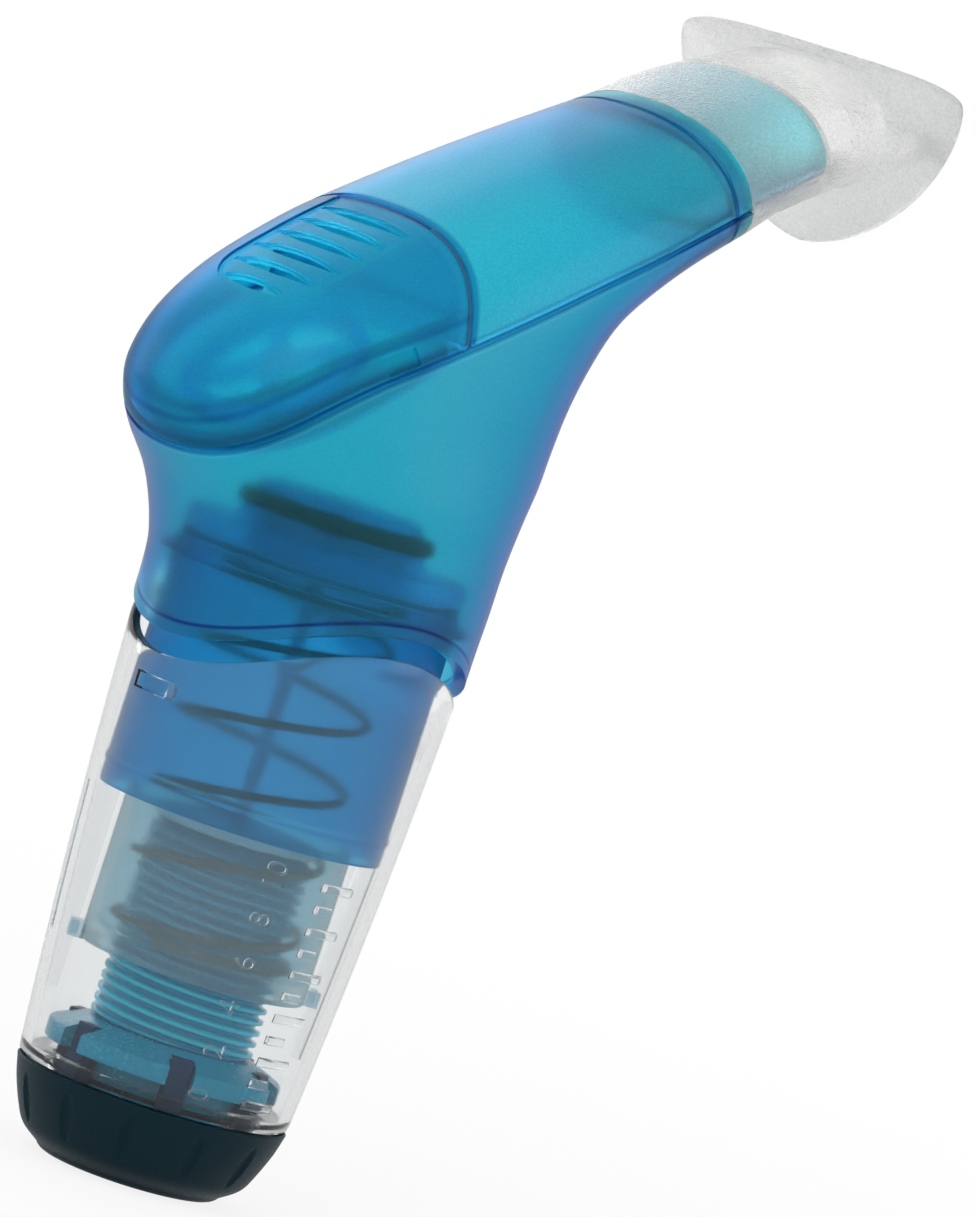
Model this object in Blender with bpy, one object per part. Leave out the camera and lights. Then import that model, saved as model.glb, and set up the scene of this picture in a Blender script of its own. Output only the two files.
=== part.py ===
"""Hand-held breathing trainer with a spring-loaded inhale valve.

A blue moulded handle carries the mouthpiece, the exhale valve under a vented cap and the inhale valve seat.
Its spigot goes into a clear scale tube. Inside the tube a spring pulls the inhale valve shut through a stem,
a threaded post and a grey carrier that rides on the post as a nut. The knob at the foot turns the post
through upright dogs, which moves the carrier up the scale and loads the spring.

Frame: Z runs up the tube's axis from the knob's underside, and +X points towards the mouthpiece.
Sizes are in millimetres.
"""

import math

import bmesh
import bpy
import numpy as np
from mathutils import Matrix

MM = 0.001
GAP = 0.3
CUT_OVER = 5.0
ROUND = 36
RING = 28

# Knob
KNOB_HEIGHT = 12.9
KNOB_FOOT_R = 14.6
KNOB_FOOT_ROUND = 1.8
KNOB_WAIST_R = 18.4
KNOB_WAIST_Z = 5.2
KNOB_TOP_R = 20.9
KNOB_WALL = 2.0
KNOB_FLOOR = 2.4
FLUTE_COUNT = 12
FLUTE_R = 0.9
FLUTE_DEPTH = 0.6
FLUTE_LENGTH = 7.0
FLUTE_START = 15.0
INLET_COUNT = 6
INLET_INNER_R = 6.5
INLET_OUTER_R = 11.5
INLET_WIDTH = 3.2

# Drive dogs that stand on the knob's floor and slide in the post flange's notches
DOG_COUNT = 6
DOG_INNER_R = 13.5
DOG_OUTER_R = 16.0
DOG_WIDTH = 3.4
DOG_SPARE = 1.5
HOOK_REACH = 1.0
HOOK_HEIGHT = 1.0

# Clear scale tube
TUBE_BASE_R = 20.9
TUBE_TOP_R = 25.0
TUBE_BULGE = 0.45
TUBE_WALL = 1.7
TUBE_LENGTH = 68.4
RIM_WAVE = 4.9
SHADOW_GAP = 3.4
FOOT_FLANGE = 1.8
FIN_ANGLES = (148.0, 328.0)
FIN_INNER_R = 18.4
FIN_WIDTH = 1.2
FIN_BELOW_SPIGOT = 0.6

# Threaded post, drawn at the outside of its thread
POST_R = 12.6
POST_BORE_R = 10.6
POST_FLANGE_R = 18.0
POST_FLANGE = 2.8
POST_LENGTH = 36.0
POST_CAP = 2.0
POST_PLUG = 3.0

# Spring carrier
CARRIER_REST = 12.5
CARRIER_R = 17.4
CARRIER_WALL = 1.5
CARRIER_FLOOR = 3.0
CARRIER_HEIGHT = 24.0
EAR_R = 19.4
EAR_HEIGHT = 2.4
EAR_WIDTH = 5.0

# Spring
SPRING_R = 13.7
SPRING_WIRE = 1.3
SPRING_TURNS = 4.8
SPRING_STEPS = 12
SPRING_SIDES = 6
SPRING_START = 200.0

# Inhale valve
SEAT_STEP = 2.0
SEAT_PLATE = 3.2
SEAT_RIM = 2.3
SEAT_RIM_R = 14.9
SEAT_BORE_R = 12.6
SEAT_LAND = 0.3
GASKET = 0.7
SEAL_R = 15.1
SEAL = 2.4
POPPET_R = 12.8
POPPET_PLATE = 1.6
POPPET_BEVEL = 0.8
POPPET_BOSS_R = 3.0
POPPET_BOSS = 3.6
STEM_R = 1.2
STEM_GROOVE = 0.4
STEM_END = 1.6
CLIP_R = 3.4
CLIP = 1.4
GUIDE_RING = 1.5
GUIDE_LIP = 1.7
GUIDE_HUB_R = 3.4
SPOKE_COUNT = 3
SPOKE_WIDTH = 2.0
LIFT = 4.0

# Spigot of the handle body, inside the scale tube
SPIGOT_CLEARANCE = 0.35
SPIGOT_WALL = 1.8
SPIGOT_DEPTH = 26.3
SPIGOT_BEAD = 0.35
SPIGOT_BEAD_Z = 3.8
WEB_RISE = 9.6
WEB = 2.0
LUG_BELOW_RIM = 9.6
LUG_WIDTH = 7.0
LUG_HEIGHT = 2.0
LUG_REACH = 2.3

# Handle shell: round skirt, bulb at the front, arm that rises to an oval collar
SKIRT_STEP = 0.6
HANDLE_WALL = 2.0
BULB_REACH = 40.0
BULB_RISE = 18.8
BULB_HALF_WIDTH = 25.6
ARM_ANGLE = 36.0
COLLAR_X = 39.5
COLLAR_RISE = 52.4
COLLAR_HALF_HEIGHT = 11.2
COLLAR_HALF_WIDTH = 21.3
NECK_LENGTH = 17.0
NECK_STEP = 2.4
NECK_WALL = 1.6
SHELL_STEPS = 18

# Seam between the lower and the upper shells, and the leaning plane behind the vent cap
SEAM_DROP = 2.5
SEAM_ANGLE = 33.1
SEAM_STRAIGHT = 68.0
SEAM_ARC_R = 64.3
SEAM_TURN = 26.8
SEAM_TAIL = 14.0
CAP_FROM_COLLAR = 57.3
CAP_LEAN = 25.5
BULKHEAD = 1.8
BULKHEAD_RECESS = 0.2
SLOT_COUNT = 6
SLOT_PITCH = 4.3
SLOT_FIRST = 4.9
SLOT_LENGTH = 19.5
SLOT_WIDTH = 1.7
SLOT_LAST_SHARE = 0.68

# Exhale valve on the deck under the vent cap
DECK = 1.8
DECK_DROP = 0.5
DECK_ANGLE = 42.5
EXHALE_SETBACK = 17.6
EXHALE_PORT_R = 12.2
EXHALE_SEAT_R = 14.2
EXHALE_SEAT = 1.8
EXHALE_HUB_R = 3.2
EXHALE_SPOKES = 4
EXHALE_SPOKE_WIDTH = 2.2
FLAP_R = 12.6
FLAP = 0.9
FLAP_STEM_R = 1.3
BUTTON_R = 2.4
BUTTON = 1.6
FLAP_TRAVEL = 2.0

# Mouthpiece
SLEEVE_REACH = 21.1
SLEEVE_RISE = 12.6
SLEEVE_END_ANGLE = 24.0
SLEEVE_END_HALF_HEIGHT = 9.8
SLEEVE_END_HALF_WIDTH = 20.0
BORE_HALF_HEIGHT = 6.4
BORE_HALF_WIDTH = 14.0
FLANGE_REACH = 27.4
FLANGE_RISE = 13.6
FLANGE_ANGLE = 16.0
FLANGE = 2.8
FLANGE_HALF_WIDTH = 32.2
FLANGE_TOP = 11.7
FLANGE_BOTTOM = 18.4
FLANGE_WIDEST = 7.4
FLANGE_UPPER_SQUARENESS = 3.7
FLANGE_LOWER_SQUARENESS = 1.65
BITE_Y = 19.0
BITE_LENGTH = 7.0
BITE_HEIGHT = 5.0
BITE_WIDTH = 7.0

# Places that follow from the sizes above
TUBE_BASE_Z = KNOB_HEIGHT + GAP
TUBE_RIM_Z = TUBE_BASE_Z + TUBE_LENGTH
HOOK_Z = TUBE_BASE_Z + FOOT_FLANGE + GAP
POST_Z = HOOK_Z + HOOK_HEIGHT + GAP
POST_TOP_Z = POST_Z + POST_LENGTH
CARRIER_Z = POST_Z + POST_FLANGE + CARRIER_REST
SPIGOT_BOTTOM_Z = TUBE_RIM_Z - SPIGOT_DEPTH
LUG_Z = TUBE_RIM_Z - LUG_BELOW_RIM
WEB_Z = TUBE_RIM_Z + WEB_RISE
SEAT_Z = WEB_Z + WEB + SEAT_STEP
GUIDE_Z = SEAT_Z - GAP - GUIDE_LIP
SEAL_Z = SEAT_Z + SEAT_PLATE + SEAT_RIM + SEAT_LAND
POPPET_Z = SEAL_Z + SEAL + GAP
HANDLE_R = TUBE_TOP_R + SKIRT_STEP
BULB_Z = SEAT_Z + BULB_RISE
COLLAR_Z = BULB_Z + COLLAR_RISE
SLEEVE_END_X = COLLAR_X + SLEEVE_REACH
SLEEVE_END_Z = COLLAR_Z + SLEEVE_RISE
FLANGE_X = COLLAR_X + FLANGE_REACH
FLANGE_Z = COLLAR_Z + FLANGE_RISE


def clear_scene():
    for obj in list(bpy.data.objects):
        bpy.data.objects.remove(obj, do_unlink=True)


def finish(name, colour, roughness, metallic=0.0, transmission=0.0):
    """A Principled material in the piece's own colour."""
    material = bpy.data.materials.new(name)
    material.use_nodes = True
    shader = material.node_tree.nodes["Principled BSDF"]
    shader.inputs["Base Color"].default_value = (*colour, 1.0)
    shader.inputs["Roughness"].default_value = roughness
    shader.inputs["Metallic"].default_value = metallic
    shader.inputs["Transmission Weight"].default_value = transmission
    return material


def mesh_object(name, points, faces, material=None):
    """An object from points in millimetres, with its faces turned outwards. No material makes it a cutter."""
    mesh = bpy.data.meshes.new(name)
    mesh.from_pydata((np.asarray(points, float) * MM).tolist(), [], faces)
    shape = bmesh.new()
    shape.from_mesh(mesh)
    bmesh.ops.recalc_face_normals(shape, faces=shape.faces[:])
    shape.to_mesh(mesh)
    shape.free()
    obj = bpy.data.objects.new(name, mesh)
    bpy.context.scene.collection.objects.link(obj)
    if material is None:
        obj.hide_render = True
        obj.display_type = "WIRE"
    else:
        mesh.materials.append(material)
        mesh.shade_smooth()
        mesh.set_sharp_from_angle(angle=math.radians(35))
    return obj


def combine(target, other, operation):
    """A Boolean with a helper object: 'DIFFERENCE', 'UNION' or 'INTERSECT'."""
    modifier = target.modifiers.new(f"{operation.lower()} {other.name}", "BOOLEAN")
    modifier.operation = operation
    modifier.object = other
    modifier.solver = "EXACT"


def turned(name, profile, material=None, segments=ROUND):
    """Revolve an (r, z) outline about Z. An outline that starts and ends on the axis closes there."""
    angles = np.linspace(0.0, 2.0 * math.pi, segments, endpoint=False)
    points = []
    rings = []
    for radius, height in profile:
        start = len(points)
        if radius == 0.0:
            points.append((0.0, 0.0, height))
            rings.append([start] * segments)
        else:
            points.extend((radius * math.cos(a), radius * math.sin(a), height) for a in angles)
            rings.append(list(range(start, start + segments)))
    pairs = list(zip(rings, rings[1:]))
    if profile[0][0] > 0.0:
        pairs.append((rings[-1], rings[0]))
    faces = []
    for low, high in pairs:
        for i in range(segments):
            j = (i + 1) % segments
            corners = dict.fromkeys((low[i], low[j], high[j], high[i]))
            if len(corners) > 2:
                faces.append(tuple(corners))
    return mesh_object(name, points, faces, material)


def skin_faces(rings, count):
    """Faces over a number of rings of count points each, capped at both ends."""
    faces = [tuple(range(count)), tuple(range((rings - 1) * count, rings * count))]
    for k in range(rings - 1):
        for i in range(count):
            j = (i + 1) % count
            faces.append((k * count + i, k * count + j, (k + 1) * count + j, (k + 1) * count + i))
    return faces


def lofted(name, rings, material=None):
    """A closed skin over rings of equally many points, capped at both ends."""
    faces = skin_faces(len(rings), len(rings[0]))
    return mesh_object(name, np.concatenate(rings), faces, material)


def prism_y(name, outline, half_width):
    """An (x, z) outline carried along Y, as a cutter."""
    return mesh_object(name, *slab(outline, half_width))


def block(low, high):
    """Corner points and faces of a box between two corners."""
    points = [(x, y, z) for x in (low[0], high[0]) for y in (low[1], high[1]) for z in (low[2], high[2])]
    faces = [(0, 1, 3, 2), (4, 6, 7, 5), (0, 4, 5, 1), (2, 3, 7, 6), (0, 2, 6, 4), (1, 5, 7, 3)]
    return np.array(points), faces


def slab(outline, half_width):
    """Points and faces of an (x, z) outline carried along Y."""
    points = [(x, y, z) for y in (-half_width, half_width) for x, z in outline]
    return np.array(points), skin_faces(2, len(outline))


def around_z(name, pieces, angles):
    """One cutter of several shapes, each repeated at the given angles in degrees about Z."""
    points = []
    faces = []
    for angle in angles:
        turn = math.radians(angle)
        for shape, sides in pieces:
            start = len(points)
            x, y, z = shape.T
            turned_x = x * math.cos(turn) - y * math.sin(turn)
            turned_y = x * math.sin(turn) + y * math.cos(turn)
            points.extend(np.stack([turned_x, turned_y, z], axis=1).tolist())
            faces.extend(tuple(start + i for i in side) for side in sides)
    return mesh_object(name, points, faces)


def every(count, start=0.0):
    return [start + 360.0 * i / count for i in range(count)]


def arc(centre, radius, start, stop, steps):
    """Points on an arc, angles in degrees."""
    angles = np.radians(np.linspace(start, stop, steps + 1))
    return [(centre[0] + radius * math.cos(a), centre[1] + radius * math.sin(a)) for a in angles]


def smooth_through(rows, steps):
    """A Catmull-Rom curve through the rows of a table, sampled evenly between its first and last row."""
    rows = np.asarray(rows, float)
    padded = np.vstack([2 * rows[0] - rows[1], rows, 2 * rows[-1] - rows[-2]])
    where = np.linspace(0.0, len(rows) - 1.0, steps + 1)
    span = np.minimum(where.astype(int), len(rows) - 2)
    t = (where - span)[:, None]
    before, here, after, beyond = (padded[span + i] for i in range(4))
    return 0.5 * (
        2 * here
        + (after - before) * t
        + (2 * before - 5 * here + 4 * after - beyond) * t**2
        + (3 * here - before - 3 * after + beyond) * t**3
    )


def oval(front, back, half_width, squareness, count=RING):
    """A superellipse that spans front to back in the XZ plane and half_width each way in Y."""
    angles = np.linspace(0.0, 2.0 * math.pi, count, endpoint=False)
    power = 2.0 / squareness
    across = np.sign(np.cos(angles)) * np.abs(np.cos(angles)) ** power
    aside = np.sign(np.sin(angles)) * np.abs(np.sin(angles)) ** power
    front = np.asarray(front, float)
    back = np.asarray(back, float)
    middle = (front + back) / 2
    half = (front - back) / 2
    x = middle[0] + half[0] * across
    z = middle[1] + half[1] * across
    return np.stack([x, half_width * aside, z], axis=1)


def on_line(origin, angle, along, up):
    """The (x, z) of a point given from an origin, along a line at an angle above +X and square to it."""
    lean = math.radians(angle)
    x = origin[0] + along * math.cos(lean) - up * math.sin(lean)
    return (x, origin[1] + along * math.sin(lean) + up * math.cos(lean))


def arm_point(along, up):
    """A point given from the collar's centre, along the arm and square to it."""
    return on_line((COLLAR_X, COLLAR_Z), ARM_ANGLE, along, up)


def seam_point(along, up):
    """A point given from where the seam meets the collar, along the seam's straight part and up out of it."""
    return on_line(arm_point(0.0, -SEAM_DROP), SEAM_ANGLE, along, up)


def deck_point(along, up):
    """A point given from the deck's end at the vent cap's bulkhead, along its upper face and up out of it."""
    return on_line(seam_point(-CAP_FROM_COLLAR, -DECK_DROP), DECK_ANGLE, along, up)


def place_on_deck(obj):
    """Stand an object, modelled about Z, on the deck at the exhale port."""
    x, z = deck_point(-EXHALE_SETBACK, 0.0)
    turn = Matrix.Rotation(-math.radians(DECK_ANGLE), 4, "Y")
    obj.matrix_world = Matrix.Translation((x * MM, 0.0, z * MM)) @ turn


def tube_radius(z):
    """Outer radius of the scale tube: a cone with a slight bulge, straight above the rim's mean height."""
    t = min(max((z - TUBE_BASE_Z) / (TUBE_RIM_Z - TUBE_BASE_Z), 0.0), 1.0)
    return TUBE_BASE_R + (TUBE_TOP_R - TUBE_BASE_R) * t + 4 * TUBE_BULGE * t * (1 - t)


SPIGOT_R = tube_radius(SPIGOT_BOTTOM_Z) - TUBE_WALL - SPIGOT_CLEARANCE


def rim_ring(name, inner, outer, flat_z, rise):
    """A ring between a flat level and the tube's waved rim, low at front and back, high at the sides."""
    angles = np.linspace(0.0, 2.0 * math.pi, ROUND, endpoint=False)
    wave = TUBE_RIM_Z + rise - RIM_WAVE * np.cos(2 * angles)
    rings = []
    for radius, level in ((inner, None), (outer, None), (outer, flat_z), (inner, flat_z)):
        height = wave if level is None else np.full_like(wave, level)
        rings.append(np.stack([radius * np.cos(angles), radius * np.sin(angles), height], axis=1))
    count = len(angles)
    faces = []
    for k in range(4):
        low, high = k * count, (k + 1) % 4 * count
        for i in range(count):
            j = (i + 1) % count
            faces.append((low + i, low + j, high + j, high + i))
    return mesh_object(name, np.concatenate(rings), faces)


def shell_stations():
    """Rows of front x, z, back x, z, half width and squareness, from below the skirt to the collar."""
    collar_front = arm_point(0.0, COLLAR_HALF_HEIGHT)
    collar_back = arm_point(0.0, -COLLAR_HALF_HEIGHT)
    skirt = HANDLE_R
    reach = BULB_REACH
    wide = BULB_HALF_WIDTH
    below = TUBE_RIM_Z - RIM_WAVE - SHADOW_GAP
    front_x, front_z = collar_front
    back_x, back_z = collar_back
    return [
        (-skirt, below, skirt, below, skirt, 2.0),
        (-skirt, BULB_Z - 26.0, skirt, BULB_Z - 26.0, skirt, 2.0),
        (-skirt - 1.2, BULB_Z - 20.0, skirt + 0.1, BULB_Z - 18.0, skirt, 2.05),
        (-skirt - 5.2, BULB_Z - 12.9, skirt + 0.4, BULB_Z - 11.0, skirt, 2.1),
        (-reach + 3.7, BULB_Z - 7.0, skirt + 0.9, BULB_Z - 4.0, wide + 0.3, 2.2),
        (-reach + 0.9, BULB_Z - 2.4, skirt + 1.6, BULB_Z + 2.0, wide + 0.1, 2.3),
        (-reach + 0.2, BULB_Z + 2.9, skirt + 1.5, BULB_Z + 7.2, wide - 0.1, 2.4),
        (-reach + 3.2, BULB_Z + 10.4, skirt + 1.5, BULB_Z + 14.0, wide - 0.3, 2.5),
        (-reach + 9.5, BULB_Z + 18.5, skirt + 2.6, BULB_Z + 20.7, wide - 0.5, 2.5),
        (-reach + 19.1, BULB_Z + 26.7, skirt + 4.5, BULB_Z + 27.5, wide - 0.8, 2.5),
        (-reach + 28.7, BULB_Z + 33.7, skirt + 7.8, BULB_Z + 32.4, wide - 1.4, 2.5),
        (front_x - 23.8, front_z - 14.6, back_x - 6.8, back_z - 4.9, COLLAR_HALF_WIDTH + 2.0, 2.4),
        (front_x, front_z, back_x, back_z, COLLAR_HALF_WIDTH, 2.3),
    ]


def shell_rings(inset):
    """Rings of the handle's skin, moved inwards by the inset."""
    rings = []
    for row in smooth_through(shell_stations(), SHELL_STEPS):
        front, back = row[0:2], row[2:4]
        half_width, squareness = row[4:6]
        chord = front - back
        step = chord / np.linalg.norm(chord) * inset
        rings.append(oval(front - step, back + step, half_width - inset, squareness))
    return rings


def neck_ring(along, inset):
    """A ring of the mouth neck: the collar's oval, moved inwards."""
    reach = COLLAR_HALF_HEIGHT - inset
    return oval(arm_point(along, reach), arm_point(along, -reach), COLLAR_HALF_WIDTH - inset, 2.3)


def shell_outside():
    """The handle's skin with the stepped-down neck that the mouthpiece goes over."""
    return shell_rings(0.0) + [neck_ring(0.0, NECK_STEP), neck_ring(NECK_LENGTH, NECK_STEP)]


def shell_inside():
    """The hollow of the handle, open at the skirt and at the end of the neck."""
    rings = shell_rings(HANDLE_WALL)[:-1]
    below = rings[0].copy()
    below[:, 2] -= CUT_OVER
    bore = NECK_STEP + NECK_WALL
    return [below] + rings + [neck_ring(-1.0, bore), neck_ring(NECK_LENGTH + CUT_OVER, bore)]


def seam_line(offset):
    """The seam from past the neck down to past the bulb's front, moved up by the offset."""
    centre = seam_point(-SEAM_STRAIGHT, -SEAM_ARC_R)
    start = 90.0 + SEAM_ANGLE
    points = [seam_point(NECK_LENGTH + 2 * CUT_OVER, offset)]
    points += arc(centre, SEAM_ARC_R + offset, start, start + SEAM_TURN, 6)
    points.append(on_line(points[-1], SEAM_ANGLE + SEAM_TURN, -SEAM_TAIL, 0.0))
    return points


def above_seam(name, offset):
    """All that lies above the seam."""
    line = seam_line(offset)
    top = COLLAR_Z + COLLAR_RISE
    return prism_y(name, line + [(line[-1][0], top), (line[0][0], top)], 2 * BULB_HALF_WIDTH)


def cap_slab(name, start, stop):
    """A slab between two distances from the collar along the seam, leaning as the cap's rear does."""
    depth = 2 * BULB_REACH
    lean = depth * math.tan(math.radians(CAP_LEAN))
    outline = [seam_point(start - lean, -depth), seam_point(stop - lean, -depth)]
    outline += [seam_point(stop + lean, depth), seam_point(start + lean, depth)]
    return prism_y(name, outline, 2 * BULB_HALF_WIDTH)


def knob_outside():
    """The knob's outer (r, z) line: a rounded foot, then a wall that opens upwards to the tube's base."""
    foot = (KNOB_FOOT_R - KNOB_FOOT_ROUND, KNOB_FOOT_ROUND)
    line = arc(foot, KNOB_FOOT_ROUND, -90.0, -30.0, 3)
    line.append(((KNOB_FOOT_R + KNOB_WAIST_R) / 2 + 0.5, KNOB_WAIST_Z * 0.55))
    line.append((KNOB_WAIST_R, KNOB_WAIST_Z))
    line.append(((KNOB_WAIST_R + KNOB_TOP_R) / 2 + 0.3, (KNOB_WAIST_Z + KNOB_HEIGHT) / 2))
    line.append((KNOB_TOP_R, KNOB_HEIGHT))
    return line


def finger_flute():
    """Points and faces of a spindle that follows the knob's wall and leaves it at both ends."""
    radii, heights = np.array(knob_outside()).T
    middle = (KNOB_WAIST_Z + KNOB_HEIGHT) / 2 - 1.5
    stations = []
    for t, sunk in ((-1.0, -0.4), (-0.6, 0.7), (0.0, 1.0), (0.6, 0.7), (1.0, -0.4)):
        z = middle + t * FLUTE_LENGTH / 2
        x = np.interp(z, heights, radii) + FLUTE_R - FLUTE_DEPTH * sunk
        circle = np.array(arc((x, 0.0), FLUTE_R, 0.0, 300.0, 5))
        stations.append(np.column_stack([circle, np.full(len(circle), z)]))
    return np.concatenate(stations), skin_faces(len(stations), len(stations[0]))


def make_knob(material):
    inside = [(KNOB_TOP_R - KNOB_WALL, KNOB_HEIGHT), (KNOB_WAIST_R - KNOB_WALL, KNOB_WAIST_Z)]
    inside += [(KNOB_FOOT_R - KNOB_WALL / 2, KNOB_FLOOR)]
    knob = turned("knob", [(0.0, 0.0)] + knob_outside() + inside + [(0.0, KNOB_FLOOR)], material)

    dog_top = POST_Z + POST_FLANGE + DOG_SPARE
    hook_r = DOG_OUTER_R + HOOK_REACH
    root = KNOB_FLOOR * 0.7
    outline = [(DOG_INNER_R, root), (DOG_INNER_R + 0.6, root), (DOG_OUTER_R, KNOB_FLOOR + 1.0)]
    outline += [(DOG_OUTER_R, HOOK_Z), (hook_r, HOOK_Z), (DOG_OUTER_R, HOOK_Z + HOOK_HEIGHT)]
    outline += [(DOG_OUTER_R, dog_top), (DOG_INNER_R, dog_top)]
    combine(knob, around_z("drive_dogs", [slab(outline, DOG_WIDTH / 2)], every(DOG_COUNT)), "UNION")

    half = INLET_WIDTH / 2
    inlet = block((INLET_INNER_R, -half, -1.0), (INLET_OUTER_R, half, KNOB_FLOOR + 1.0))
    combine(knob, around_z("air_inlets", [inlet], every(INLET_COUNT, 180.0 / INLET_COUNT)), "DIFFERENCE")
    flutes = around_z("finger_flutes", [finger_flute()], every(FLUTE_COUNT, FLUTE_START))
    combine(knob, flutes, "DIFFERENCE")
    return knob


def make_scale_tube(material):
    top = TUBE_RIM_Z + RIM_WAVE + CUT_OVER
    levels = np.linspace(TUBE_BASE_Z, TUBE_RIM_Z, 8)
    outside = [(tube_radius(z), z) for z in levels] + [(TUBE_TOP_R, top)]
    inner_levels = [z for z in levels[::-1] if z > TUBE_BASE_Z + FOOT_FLANGE + 1.0]
    inside = [(TUBE_TOP_R - TUBE_WALL, top)] + [(tube_radius(z) - TUBE_WALL, z) for z in inner_levels]
    flange_z = TUBE_BASE_Z + FOOT_FLANGE
    flange_r = DOG_OUTER_R + HOOK_REACH * 0.4 + GAP
    inside += [(tube_radius(flange_z) - TUBE_WALL, flange_z), (flange_r, flange_z), (flange_r, TUBE_BASE_Z)]
    tube = turned("scale_tube", outside + inside, material)

    fin_bottom = POST_Z + POST_FLANGE + LIFT + GAP
    fin_top = SPIGOT_BOTTOM_Z - FIN_BELOW_SPIGOT
    half = FIN_WIDTH / 2
    fin_points = []
    for x_bottom, x_top in ((FIN_INNER_R, FIN_INNER_R), (None, None)):
        for y in (-half, half):
            for z, x in ((fin_bottom, x_bottom), (fin_top, x_top)):
                fin_points.append((x or tube_radius(z) - TUBE_WALL / 2, y, z))
    fin = (np.array(fin_points), block((0, 0, 0), (1, 1, 1))[1])
    combine(tube, around_z("guide_fins", [fin], FIN_ANGLES), "UNION")
    half = LUG_WIDTH / 2 + GAP
    low = (SPIGOT_R, -half, LUG_Z - LUG_HEIGHT / 2 - GAP)
    window = block(low, (TUBE_TOP_R + CUT_OVER, half, LUG_Z + LUG_HEIGHT / 2 + GAP))
    combine(tube, around_z("lug_windows", [window], (0.0, 180.0)), "DIFFERENCE")
    above = rim_ring("above_rim", SPIGOT_R - CUT_OVER, TUBE_TOP_R + CUT_OVER, top + CUT_OVER, 0.0)
    combine(tube, above, "DIFFERENCE")
    return tube


def make_post(material):
    flange_z = POST_Z + POST_FLANGE
    profile = [(POST_BORE_R, POST_Z), (POST_FLANGE_R, POST_Z), (POST_FLANGE_R, flange_z)]
    profile += [(POST_R, flange_z), (POST_R, POST_TOP_Z), (POST_BORE_R, POST_TOP_Z)]
    post = turned("load_post", profile, material)
    half = DOG_WIDTH / 2 + GAP
    notch = block((DOG_INNER_R - GAP, -half, POST_Z - 1.0), (POST_FLANGE_R + 1.0, half, flange_z + 1.0))
    combine(post, around_z("dog_notches", [notch], every(DOG_COUNT)), "DIFFERENCE")
    return post


def make_post_cap(material):
    plug_z = POST_TOP_Z + GAP - POST_PLUG
    cap_z = POST_TOP_Z + GAP
    hole = STEM_R + GAP
    plug_r = POST_BORE_R - GAP
    profile = [(hole, plug_z), (plug_r, plug_z), (plug_r, cap_z), (POST_R, cap_z)]
    profile += [(POST_R, cap_z + POST_CAP), (hole, cap_z + POST_CAP)]
    return turned("post_cap", profile, material)


def make_carrier(material):
    bore = POST_R + GAP
    floor_z = CARRIER_Z + CARRIER_FLOOR
    top_z = CARRIER_Z + CARRIER_HEIGHT
    cup_r = CARRIER_R - CARRIER_WALL
    profile = [(bore, CARRIER_Z), (CARRIER_R, CARRIER_Z), (CARRIER_R, top_z), (cup_r, top_z)]
    profile += [(cup_r, floor_z), (bore, floor_z)]
    carrier = turned("spring_carrier", profile, material)
    half = EAR_WIDTH / 2
    ear = block((CARRIER_R - 1.0, -half, CARRIER_Z), (EAR_R, half, CARRIER_Z + EAR_HEIGHT))
    combine(carrier, around_z("carrier_ears", [ear], FIN_ANGLES), "UNION")
    half = FIN_WIDTH / 2 + GAP
    low = (FIN_INNER_R - GAP, -half, CARRIER_Z - 1.0)
    slot = block(low, (EAR_R + 1.0, half, CARRIER_Z + EAR_HEIGHT + 1.0))
    combine(carrier, around_z("ear_slots", [slot], FIN_ANGLES), "DIFFERENCE")
    return carrier


def make_spring(material):
    """A right-hand coil with a closed turn at each end, between the carrier's floor and the upper guide."""
    half = SPRING_WIRE / 2
    low = CARRIER_Z + CARRIER_FLOOR + GAP + half
    high = GUIDE_Z - GAP - half
    close = SPRING_WIRE + 0.2
    turns = SPRING_TURNS + 2.0
    t = np.linspace(0.0, turns, int(turns * SPRING_STEPS) + 1)
    z = np.interp(t, [0.0, 1.0, turns - 1.0, turns], [low, low + close, high - close, high])
    angle = 2 * math.pi * t + math.radians(SPRING_START)
    path = np.stack([SPRING_R * np.cos(angle), SPRING_R * np.sin(angle), z], axis=1)
    outward = np.stack([np.cos(angle), np.sin(angle), np.zeros_like(angle)], axis=1)
    upward = np.array([0.0, 0.0, 1.0])
    rings = []
    for centre, out in zip(path, outward):
        turn = np.linspace(0.0, 2 * math.pi, SPRING_SIDES, endpoint=False)
        rings.append(centre + half * (np.outer(np.cos(turn), out) + np.outer(np.sin(turn), upward)))
    return lofted("spring", rings, material)


def make_spring_guide(material):
    outer = SEAT_BORE_R - GAP
    inner = outer - GUIDE_RING
    lip_r = SPRING_R + SPRING_WIRE
    lip_z = GUIDE_Z + GUIDE_LIP
    top = SEAT_Z + SEAT_PLATE
    profile = [(inner, GUIDE_Z), (lip_r, GUIDE_Z), (lip_r, lip_z), (outer, lip_z), (outer, top), (inner, top)]
    guide = turned("spring_guide", profile, material)
    half = SPOKE_WIDTH / 2
    spoke = block((GUIDE_HUB_R - 1.0, -half, GUIDE_Z), (inner + GUIDE_RING / 2, half, lip_z + 1.0))
    combine(guide, around_z("guide_spokes", [spoke], every(SPOKE_COUNT, 30.0)), "UNION")
    hole = STEM_R + GAP
    hub_top = top - 1.0
    hub_profile = [(hole, GUIDE_Z), (GUIDE_HUB_R, GUIDE_Z), (GUIDE_HUB_R, hub_top), (hole, hub_top)]
    combine(guide, turned("guide_hub", hub_profile, None, 24), "UNION")
    return guide


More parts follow.
